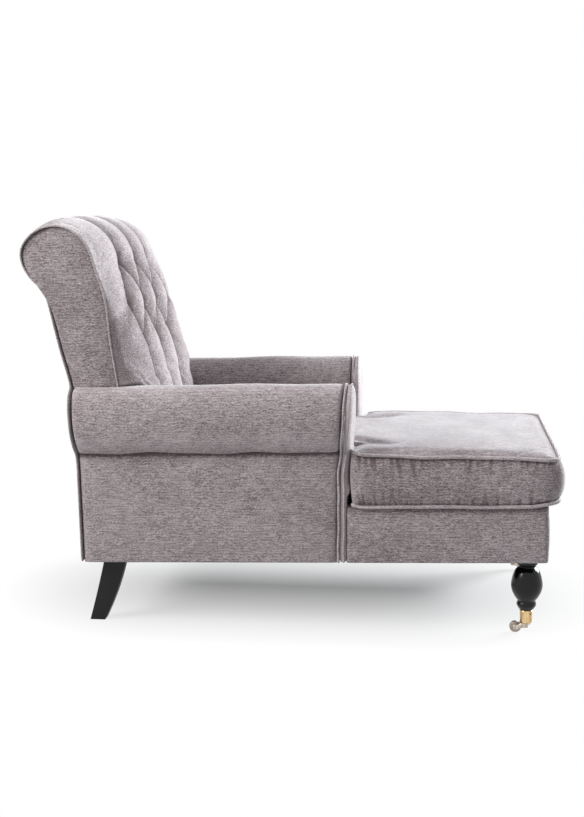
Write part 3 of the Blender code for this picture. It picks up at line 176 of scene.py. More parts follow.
class Finish(Nodes):
    """One material with its Principled shader."""

    def __init__(self, name, roughness, metallic=0.0):
        self.material = bpy.data.materials.new(name)
        self.material.use_nodes = True
        super().__init__(self.material.node_tree)
        self.shader = self.tree.nodes["Principled BSDF"]
        self.set("Roughness", roughness)
        self.set("Metallic", metallic)

    def set(self, socket, value):
        """Sets a number, or links a field, on the shader's own socket."""
        self.feed(self.shader.inputs[socket], value)

    def place(self):
        """Position on the piece in metres, in its own frame."""
        return self.add("ShaderNodeTexCoord", {}, {}, "Object")

    def stretched(self, counts):
        """Position scaled to a count of features per metre along each axis."""
        settings = {"operation": "MULTIPLY"}
        return self.add("ShaderNodeVectorMath", settings, {0: self.place(), 1: counts})

    def noise(self, counts, detail=2.0, roughness=0.5):
        settings = {"noise_dimensions": "3D"}
        inputs = {"Vector": self.stretched(counts), "Scale": 1.0, "Detail": detail, "Roughness": roughness}
        return self.add("ShaderNodeTexNoise", settings, inputs, "Fac")

    def waves(self, counts, direction):
        settings = {"wave_type": "BANDS", "bands_direction": direction}
        inputs = {"Vector": self.stretched(counts), "Scale": 1.0, "Distortion": 2.4, "Detail": 2.0}
        return self.add("ShaderNodeTexWave", settings, inputs, "Fac")

    def mix(self, share, first, second):
        """A colour between two, by a share from zero to one."""
        settings = {"data_type": "RGBA", "blend_type": "MIX"}
        inputs = {0: share, 6: (*first, 1.0), 7: (*second, 1.0)}
        return self.add("ShaderNodeMix", settings, inputs, 2)

    def toned(self, dark, light, middle, swings):
        """Colours it between two: a middle tone, and fields that swing it about their half."""
        tone = middle
        for field, amount in swings:
            tone = tone + amount * (field - 0.5)
        self.set("Base Color", self.mix(tone.clamped(), dark, light))

    def bump(self, height, strength, distance):
        inputs = {"Height": height, "Strength": strength, "Distance": distance}
        self.set("Normal", self.add("ShaderNodeBump", {}, inputs))


# Finishes

PILE_COUNT = 620
SLUB_COUNT = 230
SLUB_TONE = 1.9
STREAK_PILE_COUNT = 496
STREAK_COUNT = 55
STREAK_TONE = 1.1
RIB_COUNT = 45
NAP_COUNT = 24.0
NAP_TONE = 0.42
DRIFT_COUNT = 6.0
DRIFT_TONE = 0.35
MIDDLE_TONE = 0.43
NAP_DARK = (0.155, 0.120, 0.124)
NAP_LIGHT = (0.596, 0.532, 0.543)
WEAVE_TONE = 0.53
BEECH_TONE = 0.5
LACQUER_TONE = 0.3
METAL_TONE = 0.55
BEECH_DARK = (0.43, 0.27, 0.15)
BEECH_LIGHT = (0.68, 0.50, 0.32)
LACQUER_DARK = (0.0018, 0.0018, 0.0021)
LACQUER_LIGHT = (0.0085, 0.0082, 0.0085)


def chenille(name, weft, lift=0.0, rib=0.12):
    """Brushed chenille: short slubs and streaks along the weft over a mottled nap."""
    finish = Finish(name, 0.9)
    slub_counts = [PILE_COUNT] * 3
    streak_counts = [STREAK_PILE_COUNT] * 3
    slub_counts["XYZ".index(weft)] = SLUB_COUNT
    streak_counts["XYZ".index(weft)] = STREAK_COUNT
    slub = finish.noise(slub_counts, detail=1.0)
    streak = finish.noise(streak_counts, detail=1.0)
    ribs = finish.waves([RIB_COUNT] * 3, "Z")
    nap = finish.noise([NAP_COUNT] * 3, detail=3.0, roughness=0.6)
    drift = finish.noise([DRIFT_COUNT] * 3, detail=1.0)
    # Painted light and shade: each cover's attribute lightens or darkens the tone, for painted shade in
    # folds, creases and along seams and painted highlights on crests, rolls and arm fronts.
    painted_light_and_shade = finish.add("ShaderNodeAttribute", {"attribute_name": "painted_light_and_shade"}, {}, "Fac")
    threads = [(slub, SLUB_TONE), (streak, STREAK_TONE), (ribs, rib)]
    mottle = [(nap, NAP_TONE), (drift, DRIFT_TONE)]
    finish.toned(NAP_DARK, NAP_LIGHT, MIDDLE_TONE + lift + painted_light_and_shade, threads + mottle)
    finish.set("Roughness", 0.80 + 0.16 * slub)
    finish.set("Sheen Weight", 0.50)
    finish.set("Sheen Roughness", 0.38)
    finish.set("Sheen Tint", (0.97, 0.98, 1.0, 1.0))
    finish.set("Specular IOR Level", 0.15)
    finish.bump(slub * 0.7 + streak * 0.8 + nap * 0.5, strength=0.45, distance=0.0011)
    return finish.material


def plain_weave(name, dark, light, threads):
    """Flat cloth of crossed threads."""
    finish = Finish(name, 0.95)
    warp = finish.waves([threads] * 3, "X")
    weft = finish.waves([threads] * 3, "Y")
    wear = finish.noise([14.0] * 3, detail=3.0)
    finish.toned(dark, light, WEAVE_TONE, [(warp, 0.3), (weft, 0.3), (wear, 0.4)])
    finish.set("Specular IOR Level", 0.15)
    finish.bump(warp + weft, strength=0.4, distance=0.0004)
    return finish.material


def beech():
    """Sawn timber with its grain along x."""
    finish = Finish("sawn_beech", 0.62)
    grain = finish.noise([6.0, 90.0, 90.0], detail=4.0, roughness=0.6)
    flecks = finish.noise([120.0, 700.0, 700.0], detail=1.0)
    finish.toned(BEECH_DARK, BEECH_LIGHT, BEECH_TONE, [(grain, 1.2), (flecks, 0.4)])
    finish.bump(grain + 0.5 * flecks, strength=0.25, distance=0.0005)
    return finish.material


def black_lacquer(name, roughness):
    """Black lacquer over wood: faint grain and a little wear in the gloss."""
    finish = Finish(name, roughness)
    grain = finish.noise([160.0, 160.0, 14.0], detail=3.0, roughness=0.6)
    wear = finish.noise([45.0] * 3, detail=4.0, roughness=0.65)
    finish.toned(LACQUER_DARK, LACQUER_LIGHT, LACQUER_TONE, [(grain, 0.6), (wear, 0.7)])
    finish.set("Roughness", roughness + 0.12 * (wear - 0.4))
    finish.set("Specular IOR Level", 0.30)
    finish.bump(grain, strength=0.06, distance=0.0004)
    return finish.material


def worn_metal_with_painted_reflection(name, dark, light, roughness):
    """Metal with fine turning marks and handling smudges, and a painted reflection: upright light and dark
    bands in its colour.
    """
    finish = Finish(name, roughness, 1.0)
    smudge = finish.noise([130.0] * 3, detail=3.0, roughness=0.6)
    turning = finish.noise([60.0, 60.0, 2600.0], detail=1.0)
    # Painted reflection: the upright streak bands stand in for the studio mirrored in the metal.
    streak = finish.noise([190.0, 190.0, 9.0], detail=1.0)
    finish.toned(dark, light, METAL_TONE, [(smudge, 1.0), (turning, 0.35), (streak, 2.6)])
    finish.set("Roughness", roughness + 0.3 * (smudge - 0.5))
    finish.bump(turning, strength=0.12, distance=0.0002)
    return finish.material


COVER = chenille("chenille_weft_along", "X")
COVER_ACROSS = chenille("chenille_weft_across", "Y", rib=0.04)
# Painted highlight: the welt cords are the cover cloth lightened by a lift.
LIGHTENED_WELT_CLOTH = chenille("chenille_welt_cloth_painted_highlight", "X", lift=0.20)
DECK_CLOTH = plain_weave("deck_lining", (0.16, 0.145, 0.15), (0.34, 0.31, 0.32), 900.0)
DUST_CLOTH = plain_weave("dust_lining", (0.012, 0.012, 0.013), (0.05, 0.05, 0.052), 500.0)
JUTE = plain_weave("jute_straps", (0.26, 0.19, 0.10), (0.56, 0.45, 0.28), 330.0)
TIMBER = beech()
SATIN_BLACK = black_lacquer("satin_black_lacquer", 0.42)
GLOSS_BLACK = black_lacquer("gloss_black_lacquer", 0.19)
BRASS = worn_metal_with_painted_reflection("polished_brass", (0.36, 0.22, 0.085), (0.80, 0.58, 0.31), 0.22)
AGED_STEEL = worn_metal_with_painted_reflection("aged_steel", (0.16, 0.13, 0.11), (0.46, 0.41, 0.36), 0.38)
HORN_STEEL = worn_metal_with_painted_reflection("cast_horn_steel", (0.30, 0.26, 0.22), (0.66, 0.59, 0.50), 0.42)
DARK_STEEL = worn_metal_with_painted_reflection("screw_steel", (0.012, 0.010, 0.008), (0.05, 0.042, 0.034), 0.6)


# Mesh building


def sewn(bm, rows, closed=False):
    """Quads between neighbouring rows of vertices; closed rows join end to end."""
    for row, next_row in zip(rows, rows[1:]):
        count = len(row) if closed else len(row) - 1
        for k in range(count):
            m = (k + 1) % len(row)
            bm.faces.new((row[k], row[m], next_row[m], next_row[k]))


def mesh_from(name, bm):
    bmesh.ops.recalc_face_normals(bm, faces=bm.faces)
    mesh = bpy.data.meshes.new(name)
    bm.to_mesh(mesh)
    bm.free()
    mesh.shade_smooth()
    return mesh


def shell(name, front, back):
    """A closed pad between two grids of points of one shape."""
    bm = bmesh.new()
    outer, inner = ([[bm.verts.new(point) for point in row] for row in grid] for grid in (front, back))
    sewn(bm, outer)
    sewn(bm, inner)
    sewn(bm, [outer[0], inner[0]])
    sewn(bm, [outer[-1], inner[-1]])
    sewn(bm, [[row[0] for row in outer], [row[0] for row in inner]])
    sewn(bm, [[row[-1] for row in outer], [row[-1] for row in inner]])
    return mesh_from(name, bm)


def add_loft(bm, rings):
    """A closed skin over rings of points, capped at both ends."""
    loops = [[bm.verts.new(point) for point in ring] for ring in rings]
    sewn(bm, loops, closed=True)
    bm.faces.new(loops[0])
    bm.faces.new(loops[-1])


def loft(name, rings):
    bm = bmesh.new()
    add_loft(bm, rings)
    return mesh_from(name, bm)


def turned_rings(profile, steps, centre):
    """Rings of a turned piece from (radius, height) points."""
    rings = []
    for radius, height in profile:
        ring = []
        for k in range(steps):
            angle = 2 * math.pi * k / steps
            ring.append((centre[0] + radius * math.cos(angle), centre[1] + radius * math.sin(angle), height))
        rings.append(ring)
    return rings


def turned_to(direction):
    """Turns a piece made along z to face a direction."""
    return direction.to_track_quat("Z", "Y").to_matrix().to_4x4()


def place_piece(obj, body, replaced=(), in_body_frame=True):
    """Puts a finished piece in its frame, on its body and in place of its CAD nodes."""
    if obj.name not in bpy.context.scene.collection.objects:
        bpy.context.scene.collection.objects.link(obj)
    if in_body_frame:
        obj.matrix_world = BODY
    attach(obj, body)
    if replaced:
        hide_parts(*replaced)
    return obj


def add_piece(name, mesh, material, body, replaced=(), in_body_frame=True):
    obj = bpy.data.objects.new(name, mesh)
    mesh.materials.append(material)
    return place_piece(obj, body, replaced, in_body_frame)


def soften(obj, levels=1):
    """Rounds a coarse cover with a subdivision surface."""
    smooth = obj.modifiers.new("rounded", "SUBSURF")
    smooth.levels = levels
    smooth.render_levels = levels
    return obj


def welt(name, points, body, replaced=(), radius=WELT_RADIUS, cyclic=False):
    """A cloth-covered cord along a seam."""
    curve = bpy.data.curves.new(name, "CURVE")
    curve.dimensions = "3D"
    curve.bevel_depth = radius
    curve.bevel_resolution = 3
    curve.use_fill_caps = not cyclic
    spline = curve.splines.new("POLY")
    spline.points.add(len(points) - 1)
    for point, place in zip(spline.points, points):
        point.co = (*place, 1.0)
    spline.use_cyclic_u = cyclic
    obj = bpy.data.objects.new(name, curve)
    curve.materials.append(LIGHTENED_WELT_CLOTH)
    return place_piece(obj, body, replaced)


def vertex_rows(mesh, kind):
    """Places, as co, or normals of a mesh's vertices in rows of x, y and z."""
    flat = np.empty(len(mesh.vertices) * 3, np.float32)
    mesh.vertices.foreach_get(kind, flat)
    return flat.reshape(-1, 3).astype(float)


def coordinates(mesh):
    return vertex_rows(mesh, "co")


def set_coordinates(mesh, places):
    mesh.vertices.foreach_set("co", places.astype(np.float32).ravel())
    mesh.update()


def paint_light_and_shade(mesh, values):
    """Keeps the painted light and shade at each vertex: above zero lightens the cloth, below zero darkens
    it.
    """
    layer = mesh.attributes.new("painted_light_and_shade", "FLOAT", "POINT")
    layer.data.foreach_set("value", values.astype(np.float32))


STUFFING_FRAMES = 20
STUFFING_QUALITY = 5


def plump(mesh, pinned, pressure, slack, reach):
    """Stuffs a sewn cover: its pinned seams stay, and the cloth between them swells within the reach."""
    obj = bpy.data.objects.new("stuffed_cover", mesh)
    bpy.context.scene.collection.objects.link(obj)
    seams = obj.vertex_groups.new(name="seams")
    seams.add([int(k) for k in np.flatnonzero(pinned)], 1.0, "REPLACE")
    cloth = obj.modifiers.new("stuffing", "CLOTH")
    cloth.settings.vertex_group_mass = "seams"
    cloth.settings.use_pressure = True
    cloth.settings.uniform_pressure_force = pressure
    cloth.settings.shrink_min = -slack
    cloth.settings.effector_weights.gravity = 0.0
    cloth.settings.quality = STUFFING_QUALITY
    cloth.collision_settings.use_collision = False
    cloth.point_cache.frame_start = 1
    cloth.point_cache.frame_end = STUFFING_FRAMES
    scene = bpy.context.scene
    for number in range(1, STUFFING_FRAMES + 1):
        scene.frame_set(number)
    rest = coordinates(mesh)
    graph = bpy.context.evaluated_depsgraph_get()
    moved = coordinates(obj.evaluated_get(graph).data) - rest
    scene.frame_set(1)
    bpy.data.objects.remove(obj, do_unlink=True)
    length = np.linalg.norm(moved, axis=1)
    share = np.minimum(1.0, reach / np.maximum(length, 1e-9))
    set_coordinates(mesh, rest + moved * share[:, None])


def refined(mesh, levels=1):
    """The mesh with a subdivision surface applied."""
    obj = bpy.data.objects.new("refined_cover", mesh)
    bpy.context.scene.collection.objects.link(obj)
    soften(obj, levels)
    graph = bpy.context.evaluated_depsgraph_get()
    fine = bpy.data.meshes.new_from_object(obj.evaluated_get(graph))
    bpy.data.objects.remove(obj, do_unlink=True)
    fine.shade_smooth()
    return fine


def steps_between(stops, cell):
    """The stops with evenly spaced values between them, about a cell apart."""
    values = []
    for low, high in zip(stops, stops[1:]):
        count = max(round((high - low) / cell), 1)
        values.extend(np.linspace(low, high, count, endpoint=False))
    return [*values, stops[-1]]


def smooth_step(value):
    """Zero to one with a level start and end, for arrays."""
    value = np.clip(value, 0.0, 1.0)
    return value * value * (3.0 - 2.0 * value)


def ease(value):
    """The same for one number."""
    return float(smooth_step(value))


def crossed_waves(counts, *place):
    """Product of sines, each of the place times its own counts."""
    product = 1.0
    for row in counts:
        product *= math.sin(sum(count * value for count, value in zip(row, place)))
    return product


# Lines of the back, as heights above the deck

WELT_LINE_RISES = (
    (0.150, 0.000),
    (0.128, 0.164),
    (0.111, 0.287),
    (0.096, 0.399),
    (0.087, 0.503),
    (0.067, 0.577),
    (0.046, 0.639),
    (0.006, 0.675),
    (-0.040, 0.6835),
    (-0.083, 0.667),
    (-0.1105, 0.634),
    (-0.1115, 0.599),
    (-0.094, 0.565),
    (-0.066, 0.536),
)
REAR_LINE_RISES = (
    (0.000, 0.064),
    (-0.001, 0.124),
    (-0.012, 0.284),
    (-0.036, 0.389),
    (-0.060, 0.504),
    (-0.0655, 0.522),
)
LINE_SAMPLES = 240
SPAN_SAMPLES = 24


def lengths_of(line):
    """Length along a line at each of its points."""
    return np.concatenate([[0.0], np.cumsum(np.linalg.norm(np.diff(line, axis=0), axis=1))])


def smooth_line(points, samples):
    """A Catmull-Rom curve through the points, as evenly spaced samples."""
    points = np.array(points, float)
    padded = np.vstack([2 * points[0] - points[1], points, 2 * points[-1] - points[-2]])
    t = np.linspace(0.0, 1.0, SPAN_SAMPLES, endpoint=False)[:, None]
    pieces = []
    for a, b, c, d in zip(padded, padded[1:], padded[2:], padded[3:]):
        cubic = (2 * a - 5 * b + 4 * c - d) * t**2 + (3 * b - a - 3 * c + d) * t**3
        pieces.append(0.5 * (2 * b + (c - a) * t + cubic))
    dense = np.vstack([*pieces, points[-1:]])
    along = lengths_of(dense)
    places = np.linspace(0.0, along[-1], samples)
    return np.stack([np.interp(places, along, dense[:, k]) for k in (0, 1)], axis=1)


def above_deck(rises):
    return [(x, DECK_TOP + rise) for x, rise in rises]


WELT_LINE = smooth_line(above_deck(WELT_LINE_RISES), LINE_SAMPLES)
WELT_ALONG = lengths_of(WELT_LINE)
WELT_LENGTH = WELT_ALONG[-1]
WELT_CREST = int(np.argmax(WELT_LINE[:, 1]))
REAR_LINE = smooth_line([(0.0, 0.0), *above_deck(REAR_LINE_RISES)], LINE_SAMPLES)


def line_normals(line):
    """Directions square to a line, towards the front of the back."""
    tangent = np.gradient(line, axis=0)
    tangent /= np.linalg.norm(tangent, axis=1)[:, None]
    return np.stack([tangent[:, 1], -tangent[:, 0]], axis=1)


WELT_NORMALS = line_normals(WELT_LINE)


def welt_point(along, offset):
    """A point at a length along the welt line, offset to its front."""
    place = np.array([np.interp(along, WELT_ALONG, WELT_LINE[:, k]) for k in (0, 1)])
    normal = np.array([np.interp(along, WELT_ALONG, WELT_NORMALS[:, k]) for k in (0, 1)])
    return place + offset * normal / np.linalg.norm(normal)


def along_at_height(height):
    front = slice(0, WELT_CREST + 1)
    return float(np.interp(height, WELT_LINE[front, 1], WELT_ALONG[front]))


def rear_x(height):
    return float(np.interp(height, REAR_LINE[:, 1], REAR_LINE[:, 0]))


# Buttoned back

BUTTON_ROW_RISES = (0.594, 0.489, 0.384)
BUTTON_PITCH = 0.145
BUTTONS_PER_ROW = (3, 4, 3)
BUTTON_RADIUS = 0.0115
TUFT_DEPTH = 0.004
TUFT_SPREAD = 0.013
TUFT_POWER = 1.3
PLEAT_DEPTH = 0.036
PLEAT_END_DEPTH = 0.020
PLEAT_SPREAD = 0.062
PLEAT_REACH = 0.060
PLEAT_HELD = 0.80
PLEAT_PULL = 0.20
PUFF_HEIGHT = 0.008
CREASE_DEPTH = 0.0016
CREASE_SPREAD = 0.030
CREASE_COUNT = 7
SIDE_FOLD_DROP = 0.030
SIDE_FOLD_DEPTH = 0.008
# Painted light of the pad: shade in its folds, at its tufts and on its outer lower pillows, highlight on its
# crests.
FOLD_SHADE = -0.72
FOLD_SHADE_POWER = 0.52
FOLD_SHADE_FADE = 0.55
FOLD_SHADE_REACH = 0.060
FOLD_SHADE_OVER = 0.72
FOLD_SHADE_OVER_RUN = 0.05
TUFT_SHADE = -0.60
TUFT_SHADE_SPREAD = 0.017
SIDE_SHADES = (-0.32, -0.10)
SIDE_SHADE_DROP_RUN = 0.006
SIDE_SHADE_RUN = 0.010
CREST_HIGHLIGHT = 0.22
TUCK_DEPTH = 0.0034
TUCK_PITCH = 0.036
TUCK_REACH = 0.030
TUCK_WANDER = 3.0
TUCK_WANDER_COUNT = 40.0
TUCK_START = 0.11
TUCK_RUN = 0.05
PAD_CELL = 0.0048
PAD_EDGE = 0.004
PAD_SINK = 0.012
PAD_BACKING = 0.016
PAD_SEAT_DEPTH = 0.065
PAD_TOP_DEPTH = 0.016
PAD_END_DEPTH = 0.010
PAD_FULL_RISE = 0.224
PAD_ARM_PRESS = 0.0028
PAD_ROUND_RISE = 0.05
PAD_ROUND_RUN = 0.13
PAD_ROUND_WIDTHS = (0.012, 0.11, 0.13, BACK_HALF)
PAD_ROUND_POWERS = (0.5, 0.5, 0.5, 1.0)
PAD_EDGE_RUN = 0.11
PAD_BACKING_RUN = 0.07
PIN_FROM_FOLD = 0.010
PIN_FROM_BUTTON = 0.018
PIN_FROM_SIDE = 0.012
BUTTON_STEPS = 24
BUTTON_TOP = (0.0002, 0.0062)
BUTTON_EDGE = 0.0012
BUTTON_DOME = 0.005
BUTTON_DOME_ANGLES = np.linspace(1.35, 0.0, 7)
BUTTON_UNDERSIDE = ((BUTTON_RADIUS * 0.93, -0.001), (BUTTON_RADIUS * 0.5, -0.0025))


def button_places():
    """Buttons as places across the back and along the welt line."""
    places = []
    for rise, count in zip(BUTTON_ROW_RISES, BUTTONS_PER_ROW):
        along = along_at_height(DECK_TOP + rise)
        for k in range(count):
            places.append(((k - (count - 1) / 2) * BUTTON_PITCH, along))
    return places


BUTTONS = button_places()
BUTTON_ROWS = sorted({along for _, along in BUTTONS})
OUTER_BUTTON = max(across for across, _ in BUTTONS)


def pleat_lines():
    """Folds between neighbouring buttons, over the scroll and down to the seat."""
    folds = []
    for across, along in BUTTONS:
        for other_across, other_along in BUTTONS:
            next_row = BUTTON_ROWS.index(other_along) - BUTTON_ROWS.index(along) == 1
            if next_row and abs(other_across - across) < BUTTON_PITCH:
                folds.append(((across, along), (other_across, other_along)))
        if along == BUTTON_ROWS[-1]:
            folds.append(((across, along), (across, WELT_LENGTH)))
        if along == BUTTON_ROWS[0]:
            folds.append(((across, 0.0), (across, along)))
    return folds


def side_folds():
    """Folds from the outermost buttons out and down to the side seams."""
    folds = []
    for sign in (-1, 1):
        across, along = max(BUTTONS, key=lambda place: sign * place[0])
        folds.append(((across, along), (sign * BACK_HALF, along - SIDE_FOLD_DROP)))
    return folds


PLEATS = pleat_lines()
SIDE_FOLDS = side_folds()


def distance_to(folds, points):
    """Distance of each point to the nearest fold."""
    nearest = np.full(len(points), np.inf)
    for start, end in folds:
        start = np.array(start)
        run = np.array(end) - start
        share = np.clip((points - start) @ run / (run @ run), 0.0, 1.0)
        nearest = np.minimum(nearest, np.linalg.norm(points - start - share[:, None] * run, axis=1))
    return nearest


def from_buttons(points):
    """Distance to the nearest button and the direction from it."""
    off = points[:, None, :] - np.array(BUTTONS)[None, :, :]
    distance = np.linalg.norm(off, axis=2)
    nearest = distance.argmin(axis=1)
    rows = np.arange(len(points))
    chosen = off[rows, nearest]
    return distance[rows, nearest], np.arctan2(chosen[:, 1], chosen[:, 0]) + nearest


def pad_half_width(along):
    """Between the arms, round the tops of their rolls, and the width of the back above."""
    height = float(np.interp(along, WELT_ALONG, WELT_LINE[:, 1]))
    if height < ROLL_Z:
        return INNER_FACE - SEAM_GAP
    rise = (height - ROLL_Z) / (ROLL_HALF_HEIGHT - PAD_ARM_PRESS)
    if rise >= 1.0 or along > WELT_ALONG[WELT_CREST]:
        return BACK_HALF
    return ROLL_Y - (ROLL_HALF_WIDTH - PAD_ARM_PRESS) * math.sqrt(1.0 - rise**2)


def pad_crown(across, along):
    """Thickness over the welt line before tufting: round at the sides low down, flatter above."""
    full = along_at_height(DECK_TOP + PAD_FULL_RISE)
    stations = (0.0, full, WELT_ALONG[WELT_CREST], WELT_LENGTH)
    depth = np.interp(along, stations, (PAD_SEAT_DEPTH, PAD_SEAT_DEPTH, PAD_TOP_DEPTH, PAD_END_DEPTH))
    fold = along_at_height(DECK_TOP + BUTTON_ROW_RISES[1]) - SIDE_FOLD_DROP
    arms = (along_at_height(ARM_TOP), along_at_height(ARM_TOP + PAD_ROUND_RISE))
    rounding = (*arms, fold, fold + PAD_ROUND_RUN)
    width = np.interp(along, rounding, PAD_ROUND_WIDTHS)
    power = np.interp(along, rounding, PAD_ROUND_POWERS)
    inset = np.clip((BACK_HALF - np.abs(across)) / width, 0.0, 1.0)
    return PAD_EDGE + (depth - PAD_EDGE) * (1.0 - (1.0 - inset) ** 2) ** power


def fold_wall(to_pleat):
    """One in a fold, rounding to zero on the pillow beside it."""
    slope = np.clip(1.0 - to_pleat / PLEAT_SPREAD, 0.0, 1.0)
    return 1.0 - np.sqrt(1.0 - slope**2)


def tucks(across, along):
    """Small upright gathers where the pad goes down behind the arms."""
    rise = (along - along_at_height(ARM_TOP)) / TUCK_REACH
    wander = TUCK_WANDER * np.sin(TUCK_WANDER_COUNT * across)
    wave = 0.5 + 0.5 * np.cos(2 * math.pi * across / TUCK_PITCH + wander)
    outside = smooth_step((np.abs(across) - TUCK_START) / TUCK_RUN)
    return TUCK_DEPTH * np.exp(-(rise**2)) * wave * outside


def pad_painted_light(across, along):
    """Painted light of the pad: painted shade in the folds, at the tufts and on the outer lower pillows,
    most on the near side, and a painted highlight on the crests.
    """
    points = np.stack([across, along], axis=1)
    to_button = from_buttons(points)[0]
    wall = fold_wall(distance_to(PLEATS, points)) ** FOLD_SHADE_POWER
    over = smooth_step((along - BUTTON_ROWS[-1]) / FOLD_SHADE_OVER_RUN)
    held = 1.0 - FOLD_SHADE_FADE + FOLD_SHADE_FADE * np.exp(-to_button / FOLD_SHADE_REACH)
    held = np.maximum(held, FOLD_SHADE_OVER * over)
    tuft = TUFT_SHADE * np.exp(-((to_button / TUFT_SHADE_SPREAD) ** 2))
    limit = np.interp(along, BUTTON_ROWS[:2], (OUTER_BUTTON - BUTTON_PITCH / 2, OUTER_BUTTON))
    share = np.clip((np.abs(across) - OUTER_BUTTON) / (BACK_HALF - OUTER_BUTTON), 0.0, 1.0)
    below = smooth_step((BUTTON_ROWS[1] - SIDE_FOLD_DROP * share - along) / SIDE_SHADE_DROP_RUN)
    beside = smooth_step((np.abs(across) - limit) / SIDE_SHADE_RUN)
    side_shade = np.where(across < 0.0, *SIDE_SHADES)
    return CREST_HIGHLIGHT * (1.0 - wall) + FOLD_SHADE * held * wall + tuft + side_shade * below * beside


def pad_depth(across, along):
    """Thickness of the stuffed pad: pillows between sharp folds, drawn in hard at the buttons."""
    points = np.stack([across, along], axis=1)
    to_button, bearing = from_buttons(points)
    wall = fold_wall(distance_to(PLEATS, points))
    crown = pad_crown(across, along)
    edge = smooth_step((BACK_HALF - np.abs(across)) / PAD_EDGE_RUN)
    held = PLEAT_HELD + PLEAT_PULL * np.exp(-to_button / PLEAT_REACH)
    over = (along - WELT_ALONG[WELT_CREST]) / (WELT_LENGTH - WELT_ALONG[WELT_CREST])
    deepest = PLEAT_DEPTH + (PLEAT_END_DEPTH - PLEAT_DEPTH) * np.clip(over, 0.0, 1.0)
    drawn = deepest * held * edge * wall
    drawn = np.maximum(drawn, SIDE_FOLD_DEPTH * edge * fold_wall(distance_to(SIDE_FOLDS, points)))
    drawn += tucks(across, along)
    drawn += TUFT_DEPTH * np.exp(-((to_button / TUFT_SPREAD) ** TUFT_POWER))
    drawn += CREASE_DEPTH * np.exp(-to_button / CREASE_SPREAD) * np.cos(CREASE_COUNT * bearing)
    puff = PUFF_HEIGHT * edge
    return np.maximum(crown + puff - drawn, PAD_EDGE - PAD_SINK * edge)


def pad_row(along, across_lines, depths):
    """One row across the pad, with its depth over the welt line at each place."""
    squeeze = pad_half_width(along) / BACK_HALF
    places = [welt_point(along, depth) for depth in depths]
    return [(x, across * squeeze, z) for (x, z), across in zip(places, across_lines)]


def back_pad():
    """The buttoned cover from the seat up and over the scroll, stuffed between its folds."""
    across_lines = np.array(steps_between([-BACK_HALF, 0.0, BACK_HALF], PAD_CELL))
    along_lines = np.array(steps_between([0.0, along_at_height(ARM_TOP), WELT_LENGTH], PAD_CELL))
    across, along = (grid.ravel() for grid in np.meshgrid(across_lines, along_lines))
    depths = pad_depth(across, along).reshape(len(along_lines), len(across_lines))
    backing = -PAD_BACKING * smooth_step((BACK_HALF - np.abs(across_lines)) / PAD_BACKING_RUN)
    front = [pad_row(station, across_lines, row) for station, row in zip(along_lines, depths)]
    back = [pad_row(station, across_lines, backing) for station in along_lines]
    mesh = shell("back_pad_cover", front, back)
    points = np.stack([across, along], axis=1)
    pinned = np.ones(len(mesh.vertices), bool)
    loose = distance_to(PLEATS + SIDE_FOLDS, points) > PIN_FROM_FOLD
    loose &= from_buttons(points)[0] > PIN_FROM_BUTTON
    loose &= np.abs(across) < BACK_HALF - PIN_FROM_SIDE
    loose &= (along > 2 * CELL) & (along < WELT_LENGTH - 2 * CELL)
    pinned[: len(points)] = ~loose
    plump(mesh, pinned, pressure=3.0, slack=0.015, reach=0.005)
    plain = np.zeros(len(mesh.vertices) - len(points))
    # Painted light and shade on the pad's front; its backing has none.
    paint_light_and_shade(mesh, np.concatenate([pad_painted_light(across, along), plain]))
    obj = add_piece("buttoned_back", refined(mesh), COVER_ACROSS, "chair", ["back_pad"])


def tuft_buttons():
    """Cloth-covered buttons at the bottom of the tufts."""
    dome = [BUTTON_TOP]
    for angle in BUTTON_DOME_ANGLES:
        dome.append((BUTTON_RADIUS * math.cos(angle), BUTTON_EDGE + BUTTON_DOME * math.sin(angle)))
    dome.extend(BUTTON_UNDERSIDE)
    for number, (across, along) in enumerate(BUTTONS, 1):
        depth = float(pad_depth(np.array([across]), np.array([along]))[0])
        x, z = welt_point(along, depth)
        ahead = welt_point(along + CELL, depth) - welt_point(along - CELL, depth)
        normal = Vector((ahead[1], 0.0, -ahead[0])).normalized()
        mesh = loft(f"button_cloth_{number:02d}", turned_rings(dome, BUTTON_STEPS, (0.0, 0.0)))
        mesh.transform(Matrix.Translation((x, across, z)) @ turned_to(normal))
        name = f"covered_button_{number:02d}"
        add_piece(name, mesh, COVER_ACROSS, "chair", [f"tuft_button_{number:02d}"])


# Back sides and outside back

SIDE_PUFF = 0.004
SIDE_ROLL_IN = 0.0016
REAR_PUFF = 0.006
BACK_COVER_DEPTH = 0.009
BACK_TUCK = 0.014
BACK_TUCK_LEAN = 0.45
BACK_TUCK_INSET = 0.006
SCROLL_WELT_RADIUS = 0.0023
# Painted shade darkening the whole back side panels.
BACK_SIDE_SHADE = -0.07
SIDE_ROWS = 72
SIDE_SHARES = np.concatenate([[0.0, 0.02], np.linspace(0.06, 0.94, 22), [0.98, 1.0]])
SIDE_INSET = 0.002
SIDE_BACKING = 0.014
SIDE_REAR_GAP = 0.0025
SIDE_ROLL_SHARE = 0.06
SIDE_PUFF_SHARE = 0.35
SIDE_RIPPLE = 0.0006
SIDE_WAVES = ((31.0, 9.0), (-8.0, 17.0))
SCROLL_WELT_STEPS = 110
SCROLL_WELT_AHEAD = 0.0010
SCROLL_WELT_OUT = 0.0006
REAR_ROLL_IN = 0.004
REAR_ROLL_RUN = 0.016
REAR_PUFF_RUN = 0.16
REAR_CELL = 0.012
REAR_SHOULDER = ARM_TOP - 0.03
REAR_SHARES = np.concatenate([[-1.0, -0.985], np.linspace(-0.95, 0.95, 39), [0.985, 1.0]])
BACK_FOOT = ARM_TOP - 0.004


